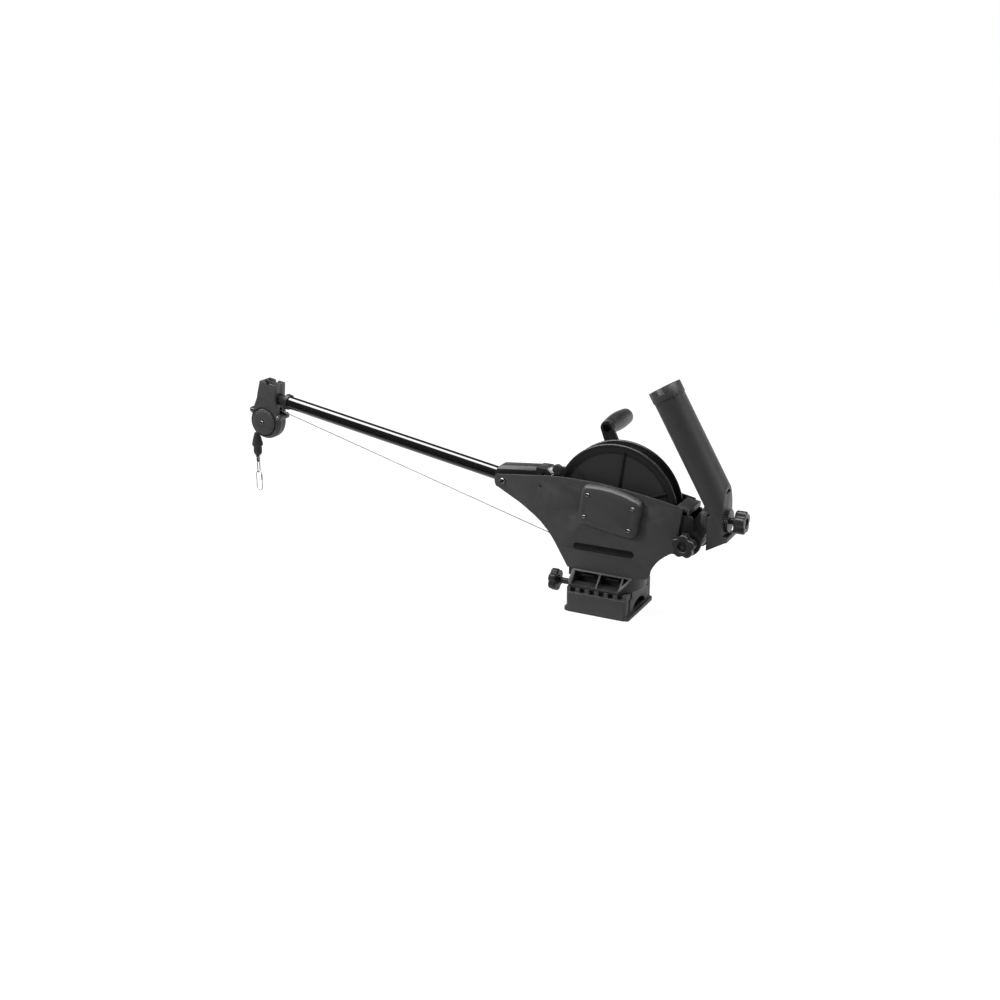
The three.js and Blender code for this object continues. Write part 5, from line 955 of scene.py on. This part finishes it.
sky = {  # levels of light, and the ends of soft edges across the direction that light comes from
    "even": 0.12, "overhead": 0.45, "overheadHeight": (0.3, 1.0), "leftOutOfShine": 0.8,
    "behindEven": 0.03, "behind": 1.5, "behindHeight": (0.04, 0.3), "behindDepth": (0.2, 0.8),
    "topStrip": 9.0, "topStripHeight": (0.5, 0.55), "topStripDepth": ((-0.36, -0.30), (0.20, 0.26)),
    "sideStrip": 1.6, "sideStripSide": (0.8, 0.9), "sideStripDepth": ((-0.3, -0.1), (0.1, 0.3)),
}
bpy.context.scene.world = bpy.data.worlds.new("studio")
studio = Finish("studio", bpy.context.scene.world)
direction = studio.node("ShaderNodeTexCoord", output="Generated")
side, depth, height = (studio.node("ShaderNodeSeparateXYZ", None, {0: direction}, output=axis) for axis in "XYZ")
shine = studio.node("ShaderNodeLightPath", output="Is Glossy Ray")
overhead = height.between(*sky["overheadHeight"]) * sky["overhead"] + sky["even"]
behind = depth.between(*sky["behindDepth"]) * sky["behind"] + sky["behindEven"]
topStrip = depth.band(*sky["topStripDepth"]) * height.between(*sky["topStripHeight"]) * sky["topStrip"]
sideStrip = side.between(*sky["sideStripSide"]) * depth.band(*sky["sideStripDepth"]) * sky["sideStrip"]
mirrored = ((1 - height.between(*sky["behindHeight"])) * behind + topStrip + sideStrip) * shine
seenThrough = studio.node("ShaderNodeLightPath", output="Is Transmission Ray")
seenPlain = studio.node("ShaderNodeLightPath", output="Is Camera Ray")
level = overhead * (1 - shine * sky["leftOutOfShine"]) + mirrored
level = level.reckon("MAXIMUM", seenPlain).reckon("MAXIMUM", seenThrough)
studio.show(studio.node("ShaderNodeBackground", None, {"Color": (1, 1, 1, 1), "Strength": level}))

sheet = {"paint": 0.86, "seenGlow": 1.16, "seenShare": 0.82, "mirrorDepth": (-0.35, 0.35), "mirror": 1.3,
         "mirrorEven": 0.02, "halfSize": 30, "z": -0.0005}
pale = Finish("paleFloor")
paint = pale.node("ShaderNodeBsdfDiffuse", None, {"Color": grey(sheet["paint"])})
seen = pale.node("ShaderNodeLightPath", output="Is Camera Ray")
mirroredRay = pale.node("ShaderNodeLightPath", output="Is Glossy Ray")
away = pale.node("ShaderNodeSeparateXYZ", None, {0: pale.place()}, output="Y")
inMirror = away.between(*sheet["mirrorDepth"]) * sheet["mirror"] + sheet["mirrorEven"]
strength = (seen * sheet["seenGlow"]).reckon("MAXIMUM", mirroredRay * inMirror)
glow = pale.node("ShaderNodeEmission", None, {"Color": (1, 1, 1, 1), "Strength": strength})
share = (seen * sheet["seenShare"]).reckon("MAXIMUM", mirroredRay)
pale.show(pale.node("ShaderNodeMixShader", None, {0: share, 1: paint, 2: glow}))
plane = bmesh.new()
bmesh.ops.create_grid(plane, x_segments=1, y_segments=1, size=sheet["halfSize"])
floor = linked("floor", finished(plane, "floor"))
floor.data.materials.append(pale.material)
floor.location.z = sheet["z"]

view = {"azimuth": math.radians(27.11), "elevation": math.radians(18.1), "place": (0.8586, -2.1041, 0.9343),
        "lens": 50, "sensor": 36, "clipEnd": 100}
back = Vector((math.sin(view["azimuth"]) * math.cos(view["elevation"]),
               -math.cos(view["azimuth"]) * math.cos(view["elevation"]), math.sin(view["elevation"])))
right = Vector((math.cos(view["azimuth"]), math.sin(view["azimuth"]), 0))
camera = linked("camera", bpy.data.cameras.new("camera"))
camera.matrix_world = Matrix.Translation(view["place"]) @ Matrix((right, back.cross(right), back)).transposed().to_4x4()
camera.data.lens = view["lens"]
camera.data.sensor_width = view["sensor"]
camera.data.clip_end = view["clipEnd"]
bpy.context.scene.camera = camera
bpy.context.scene.view_settings.view_transform = "Standard"
print("stage made")
